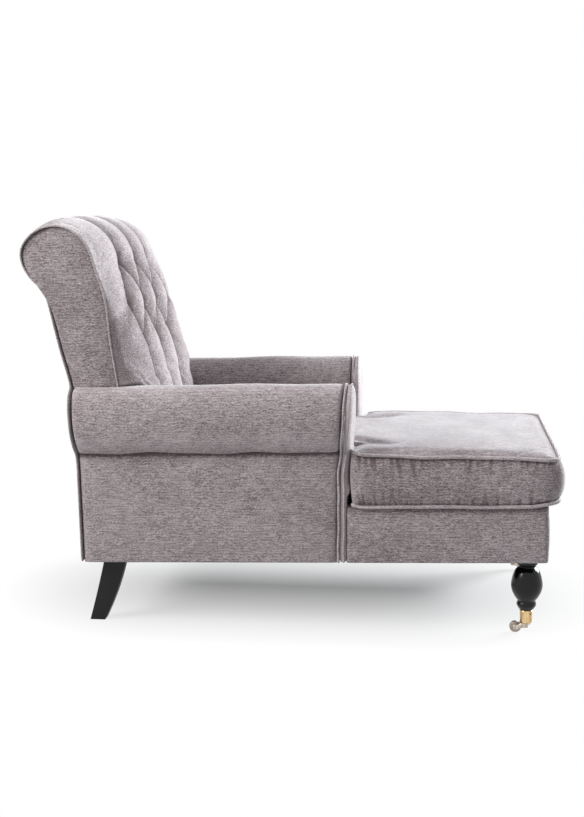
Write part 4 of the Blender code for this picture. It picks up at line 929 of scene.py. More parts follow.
def back_sides():
    """The flat panels beside the pad, puffed a little and drawn in at their seams."""
    start = along_at_height(BACK_FOOT)
    stations = np.linspace(start, WELT_LENGTH, SIDE_ROWS)
    heights = np.linspace(BACK_FOOT, REAR_LINE[-1][1], SIDE_ROWS)
    grid = []
    for along, height in zip(stations, heights):
        front = welt_point(along, 0.0)
        rear = np.array([rear_x(height) + BACK_COVER_DEPTH + SIDE_REAR_GAP, height])
        grid.append([front + (rear - front) * share for share in SIDE_SHARES])
    for side, sign in SIDES:
        outer = []
        inner = []
        for row in grid:
            outer_row = []
            for (x, z), share in zip(row, SIDE_SHARES):
                edge = min(share, 1.0 - share)
                rolled = SIDE_ROLL_IN * (1.0 - ease(edge / SIDE_ROLL_SHARE))
                puff = SIDE_PUFF * ease(edge / SIDE_PUFF_SHARE)
                loose = SIDE_RIPPLE * crossed_waves(SIDE_WAVES, x, z)
                outer_row.append((x, sign * (BACK_HALF - SIDE_INSET - rolled + puff + loose), z))
            outer.append(outer_row)
            inner.append([(x, sign * (BACK_HALF - SIDE_BACKING), z) for x, z in row])
        mesh = shell(f"back_side_cover_{side}", outer, inner)
        # Painted shade over the whole back side panel.
        paint_light_and_shade(mesh, np.full(len(mesh.vertices), BACK_SIDE_SHADE))
        replaced = [f"back_side_panel_{side}"]
        obj = add_piece(f"back_side_{side}", mesh, COVER, "chair", replaced)
        soften(obj)
        path = []
        for along in np.linspace(start, WELT_LENGTH, SCROLL_WELT_STEPS):
            x, z = welt_point(along, SCROLL_WELT_AHEAD)
            path.append((x, sign * (BACK_HALF + SCROLL_WELT_OUT), z))
        welt(f"scroll_welt_{side}", path, "chair", [f"back_side_welt_{side}"], SCROLL_WELT_RADIUS)


def rear_half_width(height):
    """Half the width of the outside back: base, then the arm ends, then the back."""
    if height <= ROLL_SEAM:
        return HALF_BASE
    if height >= ARM_TOP:
        return BACK_HALF
    rise = (height - ROLL_Z) / ROLL_HALF_HEIGHT
    return max(ROLL_Y + ROLL_HALF_WIDTH * math.sqrt(max(1.0 - rise**2, 0.0)), BACK_HALF)


def outside_back():
    """The panel behind the chair, tucked up at its top behind the end of the scroll."""
    top = REAR_LINE[-1][1]
    heights = steps_between([0.0, ROLL_SEAM, REAR_SHOULDER, ARM_TOP, top], REAR_CELL)
    heights = [*heights, top + BACK_TUCK / 2, top + BACK_TUCK]
    outer = []
    inner = []
    for height in heights:
        tucked = max(height - top, 0.0)
        half = rear_half_width(height) - BACK_TUCK_INSET * min(2 * tucked / BACK_TUCK, 1.0)
        x = rear_x(height) + BACK_TUCK_LEAN * tucked
        rim = min(height, max(top - height, 0.0))
        row = []
        for share in REAR_SHARES:
            edge = min((1.0 - abs(share)) * half, rim)
            rolled = REAR_ROLL_IN * (1.0 - ease(edge / REAR_ROLL_RUN))
            puff = REAR_PUFF * ease(edge / REAR_PUFF_RUN)
            row.append((x + rolled - puff, share * half, height))
        outer.append(row)
        inner.append([(x + BACK_COVER_DEPTH, share * half, height) for share in REAR_SHARES])
    mesh = shell("outside_back_cover", outer, inner)
    obj = add_piece("back_cover", mesh, COVER_ACROSS, "chair", ["outside_back"])
    soften(obj)


# Arms

FACING_CROWN = FACING_HIGH.x - FACING_FRONT
ARM_BAGGINESS = 0.0020
ARM_REAR_GAP = 0.0022
LEAN_HEIGHTS = (0.0, 0.225, 0.270, 0.345, 0.431)
LEAN_REACHES = (-0.006, 0.000, 0.0067, 0.014, 0.021)
LEAN_SHARES = {"right": 1.0, "left": 0.2}
LEAN_STARTS = {"right": 0.0, "left": -0.006}
CROWN_SHARES = {"right": 1.0, "left": 0.7}
FACING_BAND = 0.0130
FRONT_WELT_RADIUS = 0.0021
# Painted highlight lightening the whole arm fronts.
FACING_HIGHLIGHT = 0.36
LIP_DEPTH = 0.0075
LIP_TURN = 0.14
LIP_WAVE = 0.0024
LIP_ANGLES = np.linspace(ROLL_START, ROLL_START + LIP_TURN, 6, endpoint=False)
ROLL_ANGLES = np.concatenate([LIP_ANGLES, np.linspace(ROLL_START + LIP_TURN, math.pi, 56)])
# Painted light round the rolls: highlights on the belly and along the top.
BELLY_HIGHLIGHT = 0.24
BELLY_ANGLE = ROLL_START + 0.50
ROLL_TOP_HIGHLIGHT = 0.16
ROLL_TOP_ANGLE = 1.25
# Painted shade in the crease under the roll and along the top edge of the leg rest.
CREASE_SHADE = -0.80
CREASE_SHADE_REACH = 0.0035
# Painted light lifting the whole outer arm panels a little.
ARM_SIDE_LIGHT = 0.05
FRONT_PUCKER = 0.0016
FRONT_PUCKER_COUNT = 15
FRONT_PUCKER_REACH = 0.024
FRONT_PUCKER_WANDER = 2.0
FRONT_PUCKER_TURNS = 5.0
WELT_WANDER = 0.0011
WELT_WAVES = ((52.0, 9.0), (23.0, 0.0))
ROLL_SWELL = 0.0015
ROLL_WAVES = ((19.0, 2.0), (7.0, -3.0))
END_PULL = 0.0035
END_PULL_RUN = 0.014
LIP_WAVE_TURN = 0.5
LIP_WAVES = ((37.0, 1.0), (11.0, 0.0))
LIP_WAVE_SET = -0.4
INNER_DIP = 0.004
INNER_EASE = 0.0012
ARM_INNER_STEPS = 22
ARM_FOOT = DECK_TOP + 0.001
ARM_STOPS = (0.0, 0.03, 0.97, 1.0)
ARM_BACKING = 0.010
ARM_SEAM_BACKING = 0.020
ARM_SEAM_RISE = 0.002
BELLY_TURN = 0.34
ROLL_TOP_TURN = 0.40
FACING_FOOT = -0.001
FACING_TAIL_TOP = ROLL_SEAM - 0.01
FACING_INNER_FOOT = DECK_TOP + 0.004
FACING_SHOULDER = DECK_TOP + 0.06
FACING_TAIL_MIDDLE = HALF_BASE - 0.010
FACING_FULL = DECK_TOP + 0.03
FACING_TAIL_CROWN = 0.35
FACING_RINGS = 14
FACING_TAIL_STEPS = 30
FACING_ROLL_STEPS = 60
FACING_INNER_STEPS = 24
FACING_BAND_STEPS = 4
FACING_TURN = 0.001
FACING_SINK = 0.002
FACING_BAND_INSET = 0.003
FACING_BAND_PROUD = 0.0012
SEWN_TOGETHER = 0.0002


def arm_lean(z, side):
    """How far the arm front stands forward at a height."""
    return LEAN_STARTS[side] + LEAN_SHARES[side] * float(np.interp(z, LEAN_HEIGHTS, LEAN_REACHES))


def roll_place(angle, swell=0.0):
    """A point round the roll, as y and z."""
    y = ROLL_Y + (ROLL_HALF_WIDTH + swell) * math.cos(angle)
    z = ROLL_Z + (ROLL_HALF_HEIGHT + swell) * math.sin(angle)
    return y, z


def roll_section(x):
    """Points round the arm: outer seam, over the roll, down the inner face and back inside."""
    section = []
    ends = min(x - rear_x(ROLL_Z) - BACK_COVER_DEPTH, ARM_FRONT - x)
    pulled = END_PULL * (1.0 - ease(ends / END_PULL_RUN))
    pucker = FRONT_PUCKER * math.exp(-(ARM_FRONT - x) / FRONT_PUCKER_REACH)
    sway = LIP_WAVE * (crossed_waves(LIP_WAVES, x, 1.0) + LIP_WAVE_SET)
    for angle in ROLL_ANGLES:
        tuck = ease((angle - ROLL_START) / LIP_TURN)
        low = ease(1.0 - (angle - ROLL_START) / LIP_WAVE_TURN)
        wave = crossed_waves(ROLL_WAVES, x, angle)
        swell = ROLL_SWELL + ARM_BAGGINESS * wave * tuck - pulled - LIP_DEPTH * (1.0 - tuck)
        bunched = FRONT_PUCKER_COUNT * angle + FRONT_PUCKER_WANDER * math.sin(FRONT_PUCKER_TURNS * angle)
        swell -= pucker * (0.5 + 0.5 * math.sin(bunched))
        y, z = roll_place(angle, swell)
        section.append((y, z + low * sway))
    for z in np.linspace(ROLL_Z, ARM_FOOT, ARM_INNER_STEPS)[1:]:
        dip = INNER_DIP * math.sin(math.pi * (ROLL_Z - z) / (ROLL_Z - DECK_TOP))
        section.append((INNER_FACE - INNER_EASE + dip, z))
    section.append((INNER_FACE + ARM_BACKING, ARM_FOOT))
    section.append((INNER_FACE + ARM_BACKING, ROLL_SEAM + ARM_SEAM_RISE))
    section.append((HALF_BASE - ARM_SEAM_BACKING, ROLL_SEAM + ARM_SEAM_RISE))
    return section


def roll_painted_light(count):
    """Painted light round a roll: painted shade in the crease below it, painted highlight on its belly and
    along its top.
    """
    belly = BELLY_HIGHLIGHT * np.exp(-(((ROLL_ANGLES - BELLY_ANGLE) / BELLY_TURN) ** 2))
    top = ROLL_TOP_HIGHLIGHT * np.exp(-(((ROLL_ANGLES - ROLL_TOP_ANGLE) / ROLL_TOP_TURN) ** 2))
    crease = CREASE_SHADE * (1.0 - smooth_step((ROLL_ANGLES - ROLL_START) / LIP_TURN))
    ring = np.zeros(count)
    ring[: len(ROLL_ANGLES)] = belly + top + crease
    return ring


def arm_rolls():
    """Each arm's roll and inner face under one cover, from the outside back to its leaning front."""
    shares = steps_between(ARM_STOPS, CELL)
    for side, sign in SIDES:
        rings = []
        for share in shares:
            middle = rear_x(ROLL_Z) + BACK_COVER_DEPTH
            section = roll_section(middle + share * (ARM_FRONT - middle))
            ring = []
            for y, z in section:
                rear = rear_x(z) + BACK_COVER_DEPTH + ARM_REAR_GAP
                front = ARM_FRONT + arm_lean(z, side)
                ring.append((rear + share * (front - rear), sign * y, z))
            rings.append(ring)
        mesh = loft(f"arm_cover_{side}", rings)
        # Painted light and shade round each roll.
        paint_light_and_shade(mesh, np.tile(roll_painted_light(len(rings[0])), len(rings)))
        replaced = [f"arm_roll_{side}", f"arm_inner_panel_{side}"]
        obj = add_piece(f"padded_arm_{side}", mesh, COVER, "chair", replaced)
        soften(obj)


def facing_outline(sign, inset):
    """The arm front: tail up the side of the base, round the roll and down its inner face."""
    tail = np.linspace(inset + FACING_FOOT, FACING_TAIL_TOP, FACING_TAIL_STEPS)
    inner_face = np.linspace(ROLL_Z, FACING_INNER_FOOT, FACING_INNER_STEPS)[1:]
    outline = [(HALF_BASE - inset, z) for z in tail]
    for angle in np.linspace(ROLL_START, math.pi, FACING_ROLL_STEPS):
        outline.append(roll_place(angle, -inset))
    outline.extend((INNER_FACE + inset, z) for z in inner_face)
    return [(sign * y, z) for y, z in outline]


def facing_spine(z, sign):
    """The point of the facing's middle line that a height of its outline faces."""
    if z > ROLL_Z:
        return sign * ROLL_Y, ROLL_Z
    if z > FACING_SHOULDER:
        return sign * (INNER_FACE + HALF_BASE) / 2, z
    return sign * FACING_TAIL_MIDDLE, z


def arm_facings():
    """Padded arm fronts with a border band between two welts."""
    for side, sign in SIDES:
        rim = facing_outline(sign, WELT_RADIUS)
        rows = [[(FACING_REAR + FACING_TURN, y, z) for y, z in rim]]
        band = facing_outline(sign, WELT_RADIUS - FACING_BAND_PROUD)
        edges = (FACING_REAR + FACING_BAND_INSET, FACING_FRONT - FACING_BAND_INSET)
        for x in np.linspace(*edges, FACING_BAND_STEPS):
            rows.append([(x, y, z) for y, z in band])
        for share in np.linspace(0.0, 1.0, FACING_RINGS):
            row = []
            for y, z in rim:
                spine_y, spine_z = facing_spine(z, sign)
                reach = 1.0 if z > FACING_FULL else FACING_TAIL_CROWN
                puff = FACING_CROWN * CROWN_SHARES[side] * reach * math.sqrt(1.0 - (1.0 - share) ** 2)
                inward = (y + (spine_y - y) * share, z + (spine_z - z) * share)
                row.append((FACING_FRONT - FACING_SINK + puff, *inward))
            rows.append(row)
        bm = bmesh.new()
        grid = [[bm.verts.new((x + arm_lean(z, side), y, z)) for x, y, z in row] for row in rows]
        sewn(bm, grid)
        bmesh.ops.remove_doubles(bm, verts=bm.verts, dist=SEWN_TOGETHER)
        mesh = mesh_from(f"facing_cover_{side}", bm)
        # Painted highlight over the whole arm front.
        paint_light_and_shade(mesh, np.full(len(mesh.vertices), FACING_HIGHLIGHT))
        replaced = [f"arm_facing_{side}"]
        obj = add_piece(f"arm_front_{side}", mesh, COVER_ACROSS, "chair", replaced)
        soften(obj)
        edge = facing_outline(sign, WELT_RADIUS - WELT_PROUD)
        rear_path = []
        for y, z in edge:
            wander = WELT_WANDER * crossed_waves(WELT_WAVES, z, y)
            rear_path.append((FACING_REAR - WELT_RADIUS + arm_lean(z, side) + wander, y, z))
        front_path = [(x + FACING_BAND, y, z) for x, y, z in rear_path]
        welt(f"arm_welt_{side}", rear_path, "chair", [f"arm_facing_welt_{side}"])
        welt(f"arm_front_welt_{side}", front_path, "chair", radius=FRONT_WELT_RADIUS)


# Flat covers of the base

BASE_WRAP = 0.0015
BASE_CORNER = 0.013
SIDE_PUFF_DEPTH = 0.0025
HEM_ROLL = 0.0030
END_ROLL_RUN = 0.008
COVER_CELL = 0.014
COVER_EASE = 0.001
COVER_WAVES = ((23.0, 19.0, 5.0), (-9.0, 7.0, 11.0))
SIDE_PUFF_RUN = 0.06
ARM_SIDE_TOP = ROLL_SEAM + 0.006
ARM_SIDE_COLUMNS = 46
ARM_SIDE_BACKING = 0.012
ARM_SIDE_RIPPLE = 0.0009
ARM_SIDE_RIPPLE_RUN = 0.03
LEG_REST_TOP = DECK_TOP - 0.0005
LEG_REST_PROUD = 0.003
LEG_REST_GAP = 0.0015
LEG_REST_BACKING = 0.010
LEG_REST_RIPPLE = 0.0008
LEG_REST_END_RUN = 0.05
LEG_REST_SIDE_STEPS = 34
LEG_REST_CORNER_STEPS = 8
LEG_REST_FRONT_STEPS = 22
DECK_CELL = 0.02
DECK_STEP = (ARM_FRONT - 0.002, ARM_FRONT + 0.006)
DECK_COLUMNS = 34
DECK_EASE = 0.0012
DUST_SAG = 0.0016
DUST_THICKNESS = 0.0008
DUST_ROWS = 60
DUST_COLUMNS = 40


def hem_draw(height, low, high):
    """How far a cover is rolled in at its lower and upper edge."""
    edge = min(height - low, high - height)
    return HEM_ROLL * (1.0 - math.sqrt(1.0 - (1.0 - min(edge / HEM_ROLL, 1.0)) ** 2))


def cover_heights(low, high):
    """Heights of a cover's rows, close together where its edges roll in."""
    lower = [low, low + HEM_ROLL / 3, low + HEM_ROLL]
    upper = [high - HEM_ROLL, high - HEM_ROLL / 3, high]
    return steps_between(lower + upper, COVER_CELL)


def arm_sides():
    """Outer arm panels between the outside back and the facing's welt."""
    for side, sign in SIDES:
        low = -BASE_WRAP
        high = ARM_SIDE_TOP
        outer = []
        inner = []
        for z in cover_heights(low, high):
            rear = rear_x(max(z, 0.0)) + BACK_COVER_DEPTH + ARM_REAR_GAP
            front = ARM_FRONT + arm_lean(max(z, 0.0), side)
            outer_row = []
            inner_row = []
            for share in np.linspace(0.0, 1.0, ARM_SIDE_COLUMNS):
                x = rear + share * (front - rear)
                end = min(x - rear, front - x)
                edge = min(end, z - low, high - z)
                puff = SIDE_PUFF_DEPTH * ease(edge / SIDE_PUFF_RUN)
                slack = ARM_SIDE_RIPPLE * ease(edge / ARM_SIDE_RIPPLE_RUN)
                loose = slack * crossed_waves(COVER_WAVES, x, 0.0, z)
                rolled = hem_draw(z, low, high) + HEM_ROLL * (1.0 - ease(end / END_ROLL_RUN))
                outer_row.append((x, sign * (HALF_BASE - COVER_EASE - rolled + puff + loose), z))
                inner_row.append((x, sign * (HALF_BASE - ARM_SIDE_BACKING), z))
            outer.append(outer_row)
            inner.append(inner_row)
        mesh = shell(f"arm_side_cover_{side}", outer, inner)
        to_seam = (ROLL_SEAM - coordinates(mesh)[:, 2]).clip(0.0)
        # Painted shade in the crease under the roll, over a little painted light on the whole side.
        paint_light_and_shade(mesh, ARM_SIDE_LIGHT + CREASE_SHADE * np.exp(-to_seam / CREASE_SHADE_REACH))
        replaced = [f"arm_outer_panel_{side}"]
        obj = add_piece(f"arm_side_{side}", mesh, COVER, "chair", replaced)
        soften(obj)


def leg_rest_path():
    """Plan of the cover round the leg rest: (x, y, outward x, outward y)."""
    front = BORDER_HIGH.x + LEG_REST_PROUD
    half = HALF_BASE - COVER_EASE
    start = FACING_FRONT + LEG_REST_GAP
    along = np.linspace(start, front - BASE_CORNER, LEG_REST_SIDE_STEPS)
    across = np.linspace(-half + BASE_CORNER, 0.0, LEG_REST_FRONT_STEPS)[1:]
    path = [(x, -half, 0.0, -1.0) for x in along]
    for angle in np.linspace(-math.pi / 2, 0.0, LEG_REST_CORNER_STEPS)[1:]:
        out = (math.cos(angle), math.sin(angle))
        path.append((front - BASE_CORNER * (1 - out[0]), -half + BASE_CORNER * (1 + out[1]), *out))
    path.extend((front, y, 1.0, 0.0) for y in across)
    mirrored = [(x, -y, out_x, -out_y) for x, y, out_x, out_y in reversed(path[:-1])]
    return path + mirrored


def side_of(y):
    """Which arm a place lies towards."""
    return "left" if y > 0 else "right"


def leg_rest_cover():
    """One border wrapped round the sides and the front of the leg rest."""
    low = -BASE_WRAP
    high = LEG_REST_TOP
    path = leg_rest_path()
    start = path[0][0]
    path_front = max(x for x, *_ in path)
    outer = []
    inner = []
    for z in cover_heights(low, high):
        outer_row = []
        inner_row = []
        for plain_x, y, out_x, out_y in path:
            leaning = 1.0 - (plain_x - start) / (path_front - start)
            x = plain_x + leaning * arm_lean(max(z, 0.0), side_of(y))
            ends = ease((x - FACING_FRONT) / LEG_REST_END_RUN)
            puff = SIDE_PUFF_DEPTH * ease(min(z - low, high - z) / SIDE_PUFF_RUN) * ends
            loose = LEG_REST_RIPPLE * ends * crossed_waves(COVER_WAVES, x, y, z)
            push = puff + loose - hem_draw(z, low, high)
            outer_row.append((x + push * out_x, y + push * out_y, z))
            inner_row.append((x - LEG_REST_BACKING * out_x, y - LEG_REST_BACKING * out_y, z))
        outer.append(outer_row)
        inner.append(inner_row)
    mesh = shell("leg_rest_border", outer, inner)
    to_seam = (high - coordinates(mesh)[:, 2]).clip(0.0)
    # Painted shade along the top edge, under the cushion.
    paint_light_and_shade(mesh, CREASE_SHADE * np.exp(-to_seam / CREASE_SHADE_REACH))
    replaced = ["base_front_border", "base_side_panel_left", "base_side_panel_right"]
    obj = add_piece("leg_rest_cover", mesh, COVER, "chair", replaced)
    soften(obj)


def seat_deck():
    """The lined deck under the cushion, narrow between the arms."""
    low, high = span("seat_deck")
    shares = np.linspace(-1.0, 1.0, DECK_COLUMNS)
    outer = []
    inner = []
    for x in steps_between([low.x, *DECK_STEP, high.x], DECK_CELL):
        half = INNER_FACE + ARM_BACKING if x < ARM_FRONT else high.y
        outer.append([(x, half * share, high.z - DECK_EASE) for share in shares])
        inner.append([(x, half * share, low.z) for share in shares])
    mesh = shell("deck_cover", outer, inner)
    obj = add_piece("lined_deck", mesh, DECK_CLOTH, "chair", ["seat_deck"])


def dust_lining():
    """Black lining stretched under the seat frame."""
    low, high = span("dust_cover")
    rows = np.linspace(low.x, high.x, DUST_ROWS)
    columns = np.linspace(low.y, high.y, DUST_COLUMNS)
    outer = []
    inner = []
    for x in rows:
        middle = DUST_SAG * math.sin(math.pi * (x - low.x) / (high.x - low.x))
        sag = [middle * math.cos(math.pi * y / (2 * high.y)) for y in columns]
        outer.append([(x, y, low.z - drop) for y, drop in zip(columns, sag)])
        inner.append([(x, y, low.z + DUST_THICKNESS - drop) for y, drop in zip(columns, sag)])
    mesh = shell("dust_lining_cloth", outer, inner)
    obj = add_piece("dust_lining", mesh, DUST_CLOTH, "chair", ["dust_cover"])


# Loose cushion

CUSHION_FRONT = TOP_WELT_HIGH.x - 0.003
CUSHION_REAR = TOP_WELT_LOW.x + 0.003
SEAT_HALF = INNER_FACE - 0.0062
EAR_X = FACING_HIGH.x + 0.0025
EAR_HALF = TOP_WELT_HIGH.y - 0.003
CUSHION_BOTTOM = span("seat_cushion")[0].z
CUSHION_TOP_REAR = TOP_WELT_HIGH.z
CUSHION_TOP_FRONT = TOP_WELT_LOW.z + 0.006
CUSHION_CORNER = 0.034
EAR_CORNER = 0.010
CUSHION_WELT_RADIUS = 0.0042
CUSHION_WELT_PROUD = 0.0040
CUSHION_CELL = 0.0068
SEAM_DRAW = 0.0065
SEAM_REACH = 0.006
EAR_LIFTS = {"right": 0.0085, "left": -0.0035}
EAR_LIFT_RUN = 0.014
EAR_LIFT_START = 0.29
EAR_LIFT_SPREAD = 0.05
EAR_LIFT_BELOW = 0.55
EAR_REAR_BULGE = 0.005
RIM_WAVE = 0.0013
LOWER_RIM_LIFT = 0.7 * RIM_WAVE
LOWER_RIM_WAVE = 0.45
CUSHION_CROWN = 0.0125
CROWN_RUN = 0.030
TOP_FULLNESS = (1.0, 0.45)
TOP_FULLNESS_RUN = (-0.20, 0.25)
EAR_DIP = 0.010
EAR_DIP_SPREAD = 0.024
EAR_DIP_PHASE = 0.15
EAR_DIP_START = (-0.020, 0.190)
EAR_DIP_END = (0.110, 0.272)
TOP_SEAM_DRAW = 0.0015
FRONT_BULGE = 0.016
SIDE_BULGE = 0.008
OVERHANG_RISE = 0.008
OVERHANG_START = -0.05
OVERHANG_RUN = 0.08
BULGE_POWER = 0.7
BOXING_BAND = 0.012
BOXING_START = EAR_X + 0.4 * CUSHION_CORNER
EAR_SLACK = 0.01
EAR_INSET = 0.02
SAME_PLACE = 1e-6
BOXING_SHARES = (0.03, 0.07, 0.13, 0.21, 0.31, 0.42, 0.54, 0.66, 0.77, 0.86, 0.92, 0.965)


def round_corner(x, y):
    """Plan position with the outer corners of the T rounded."""
    sign = math.copysign(1.0, y)
    y = abs(y)
    half = EAR_HALF
    ends = [(CUSHION_FRONT, CUSHION_CORNER), (EAR_X, EAR_CORNER)]
    if x < EAR_X - SAME_PLACE:
        half = SEAT_HALF
        ends = [(CUSHION_REAR, CUSHION_CORNER)]
    for end, radius in ends:
        inward = -1.0 if end == CUSHION_FRONT else 1.0
        u = 1.0 - abs(x - end) / radius
        v = 1.0 - (half - y) / radius
        if u > 0.0 and v > 0.0:
            along = u * math.sqrt(1.0 - v * v / 2.0)
            side = v * math.sqrt(1.0 - u * u / 2.0)
            x = end + inward * radius * (1.0 - along)
            y = half - radius * (1.0 - side)
    return x, sign * y


def corner_lift(x, y):
    """How far the outer rear corner of an ear is pushed up by the arm front."""
    if x <= EAR_X - EAR_SLACK:
        return 0.0
    near = math.exp(-max(x - EAR_X, 0.0) / EAR_LIFT_RUN)
    return EAR_LIFTS[side_of(y)] * near * ease((abs(y) - EAR_LIFT_START) / EAR_LIFT_SPREAD)


def rim_wave(x, y):
    """How far a seam strays from its level."""
    return RIM_WAVE * (math.sin(21.0 * x + 4.0 * y + 1.0) + 0.6 * math.sin(43.0 * x - 17.0 * y))


def top_height(x, y):
    """Height of the top seam, and of the top before its crown."""
    share = float(np.clip((x - EAR_X) / (CUSHION_FRONT - EAR_X), 0.0, 1.0))
    slope = CUSHION_TOP_REAR + (CUSHION_TOP_FRONT - CUSHION_TOP_REAR) * share
    return slope + corner_lift(x, y) + rim_wave(x, y)


def bottom_height(x, y):
    """Height of the bottom seam, lifted over the front border."""
    overhang = OVERHANG_RISE * ease((x - BORDER_HIGH.x - OVERHANG_START) / OVERHANG_RUN)
    lift = EAR_LIFT_BELOW * corner_lift(x, y)
    return CUSHION_BOTTOM + overhang + lift + LOWER_RIM_LIFT + LOWER_RIM_WAVE * rim_wave(x, -y)


def cell_corners(i, j):
    return [(i, j), (i + 1, j), (i + 1, j + 1), (i, j + 1)]


def cushion_grid():
    """Lines of the T's grid along x and y, and its cells."""
    seat_stops = [CUSHION_REAR, CUSHION_REAR + CUSHION_CORNER, EAR_X]
    ear_stops = [EAR_X + CUSHION_CORNER, CUSHION_FRONT - CUSHION_CORNER, CUSHION_FRONT]
    xs = steps_between(seat_stops + ear_stops, CUSHION_CELL)
    half_stops = [0.0, SEAT_HALF - CUSHION_CORNER, SEAT_HALF, EAR_HALF - CUSHION_CORNER, EAR_HALF]
    half = steps_between(half_stops, CUSHION_CELL)
    ys = [-y for y in reversed(half[1:])] + half
    ear = int(np.argmin(np.abs(np.array(xs) - EAR_X)))
    seat = int(np.argmin(np.abs(np.array(ys) - SEAT_HALF)))
    first = len(ys) - 1 - seat
    cells = []
    for i in range(len(xs) - 1):
        for j in range(len(ys) - 1):
            if i >= ear or first <= j < seat:
                cells.append((i, j))
    return xs, ys, cells


def rim_of(cells):
    """The grid nodes round the edge of the T, in order."""
    runs = set()
    for i, j in cells:
        corners = cell_corners(i, j)
        runs.update(zip(corners, corners[1:] + corners[:1]))
    step = {start: end for start, end in runs if (end, start) not in runs}
    rim = [min(step)]
    while step[rim[-1]] != rim[0]:
        rim.append(step[rim[-1]])
    return rim


def edge_distance(x, y):
    """How far a plan point lies inside the edge of the T."""
    half = EAR_HALF if x >= EAR_X else SEAT_HALF
    near = min(half - abs(y), CUSHION_FRONT - x, x - CUSHION_REAR)
    if abs(y) > SEAT_HALF:
        near = min(near, x - EAR_X)
    return max(near, 0.0)


def crown_height(x, y):
    """Rise of the stuffed top over its edge, with a dip where the ear leaves the arm."""
    edge = edge_distance(x, y)
    full = CUSHION_CROWN * float(np.interp(y, TOP_FULLNESS_RUN, TOP_FULLNESS))
    rise = full * (1.0 - math.exp(-edge / CROWN_RUN)) - TOP_SEAM_DRAW * math.exp(-edge / SEAM_REACH)
    place = Vector((x, y))
    for sign in (-1, 1):
        start = Vector((EAR_X + EAR_DIP_START[0], sign * EAR_DIP_START[1]))
        run = Vector((EAR_X + EAR_DIP_END[0], sign * EAR_DIP_END[1])) - start
        share = min(max((place - start).dot(run) / run.length_squared, 0.0), 1.0)
        off = (place - start - share * run).length
        depth = EAR_DIP * math.exp(-((off / EAR_DIP_SPREAD) ** 2))
        rise -= depth * math.sin(math.pi * (EAR_DIP_PHASE + (1.0 - EAR_DIP_PHASE) * share))
    return rise


def boxing_outward(rim_plan):
    """Outward plan direction at each rim node."""
    places = np.array(rim_plan)
    run = np.roll(places, -1, axis=0) - np.roll(places, 1, axis=0)
    out = np.stack([run[:, 1], -run[:, 0]], axis=1)
    return out / np.linalg.norm(out, axis=1)[:, None]


def free_run(x, y):
    """True along the front and the outer sides, where the boxing shows."""
    at_edge = abs(y) > EAR_HALF - BOXING_BAND or x > CUSHION_FRONT - BOXING_BAND
    return at_edge and x > BOXING_START


def boxing_bulge(x, y, out_x, share):
    """How far the boxing stands out: round between its seams and drawn in beside them."""
    if free_run(x, y):
        full = SIDE_BULGE + (FRONT_BULGE - SIDE_BULGE) * out_x**2
        seam = min(share, 1.0 - share) * (CUSHION_TOP_REAR - CUSHION_BOTTOM)
        return full * math.sin(math.pi * share) ** BULGE_POWER - SEAM_DRAW * math.exp(-seam / SEAM_REACH)
    if x > EAR_X - EAR_SLACK and abs(y) > SEAT_HALF + EAR_INSET:
        return EAR_REAR_BULGE * math.sin(math.pi * share)
    return 0.0


def seat_cushion():
    """The loose T cushion: top, boxing and bottom sewn as one cover, stuffed, gathered and welted."""
    xs, ys, cells = cushion_grid()
    rim = rim_of(cells)
    on_rim = set(rim)
    plan = {}
    for i, j in {corner for cell in cells for corner in cell_corners(*cell)}:
        plan[i, j] = round_corner(xs[i], ys[j])
    rim_plan = [plan[node] for node in rim]
    outward = boxing_outward(rim_plan)
    bm = bmesh.new()
    top = {}
    bottom = {}
    for node, (x, y) in plan.items():
        rise = 0.0 if node in on_rim else crown_height(x, y)
        top[node] = bm.verts.new((x, y, top_height(x, y) + rise))
        bottom[node] = bm.verts.new((x, y, bottom_height(x, y)))
    layers = [[top[node] for node in rim]]
    for share in BOXING_SHARES:
        row = []
        for (x, y), (out_x, out_y) in zip(rim_plan, outward):
            high = top_height(x, y)
            z = high + (bottom_height(x, y) - high) * share
            bulge = boxing_bulge(x, y, out_x, share)
            row.append(bm.verts.new((x + bulge * out_x, y + bulge * out_y, z)))
        layers.append(row)
    layers.append([bottom[node] for node in rim])
    sewn(bm, layers, closed=True)
    for cell in cells:
        for panel in (top, bottom):
            bm.faces.new([panel[node] for node in cell_corners(*cell)])
    bm.verts.index_update()
    free = {vert.index for node, vert in top.items() if node not in on_rim}
    for row in layers[1:-1]:
        free.update(vert.index for vert, place in zip(row, rim_plan) if free_run(*place))
    mesh = mesh_from("cushion_cover", bm)
    pinned = np.ones(len(mesh.vertices), bool)
    pinned[list(free)] = False
    plump(mesh, pinned, pressure=4.0, slack=0.008, reach=0.0035)
    fine = refined(mesh)
    creases = gather(fine)
    # Painted shade along the seams, in the gathers and over the panels.
    paint_light_and_shade(fine, cushion_painted_shade(fine, creases))
    obj = add_piece("loose_cushion", fine, COVER, "cushion", ["seat_cushion"])
    for level, height in (("top", top_height), ("bottom", bottom_height)):
        path = []
        for (x, y), (out_x, out_y) in zip(rim_plan, outward):
            proud = CUSHION_WELT_PROUD if free_run(x, y) else 0.0
            path.append((x + proud * out_x, y + proud * out_y, height(x, y)))
        replaced = [f"cushion_{level}_welt"]
        welt(f"cushion_{level}_cord", path, "cushion", replaced, CUSHION_WELT_RADIUS, cyclic=True)


GATHER_SPACING = (0.011, 0.030)
GATHER_WIDTHS = (0.0020, 0.0034)
GATHER_DEPTHS = (0.0012, 0.0036)
GATHER_SLANTS = (-0.25, 0.25)
GATHER_REACHES = (0.012, 0.042)
GATHER_ARM_RUN = 0.10
GATHER_FAR_SHARE = 0.7
GATHER_NEAR_SHARE = 0.6
GATHER_CROWDING = 0.35
GATHER_BAND = 0.02
GATHER_FADE = 0.004
LOWER_GATHER_SHARE = 0.7
LEVEL_FACE = 0.75
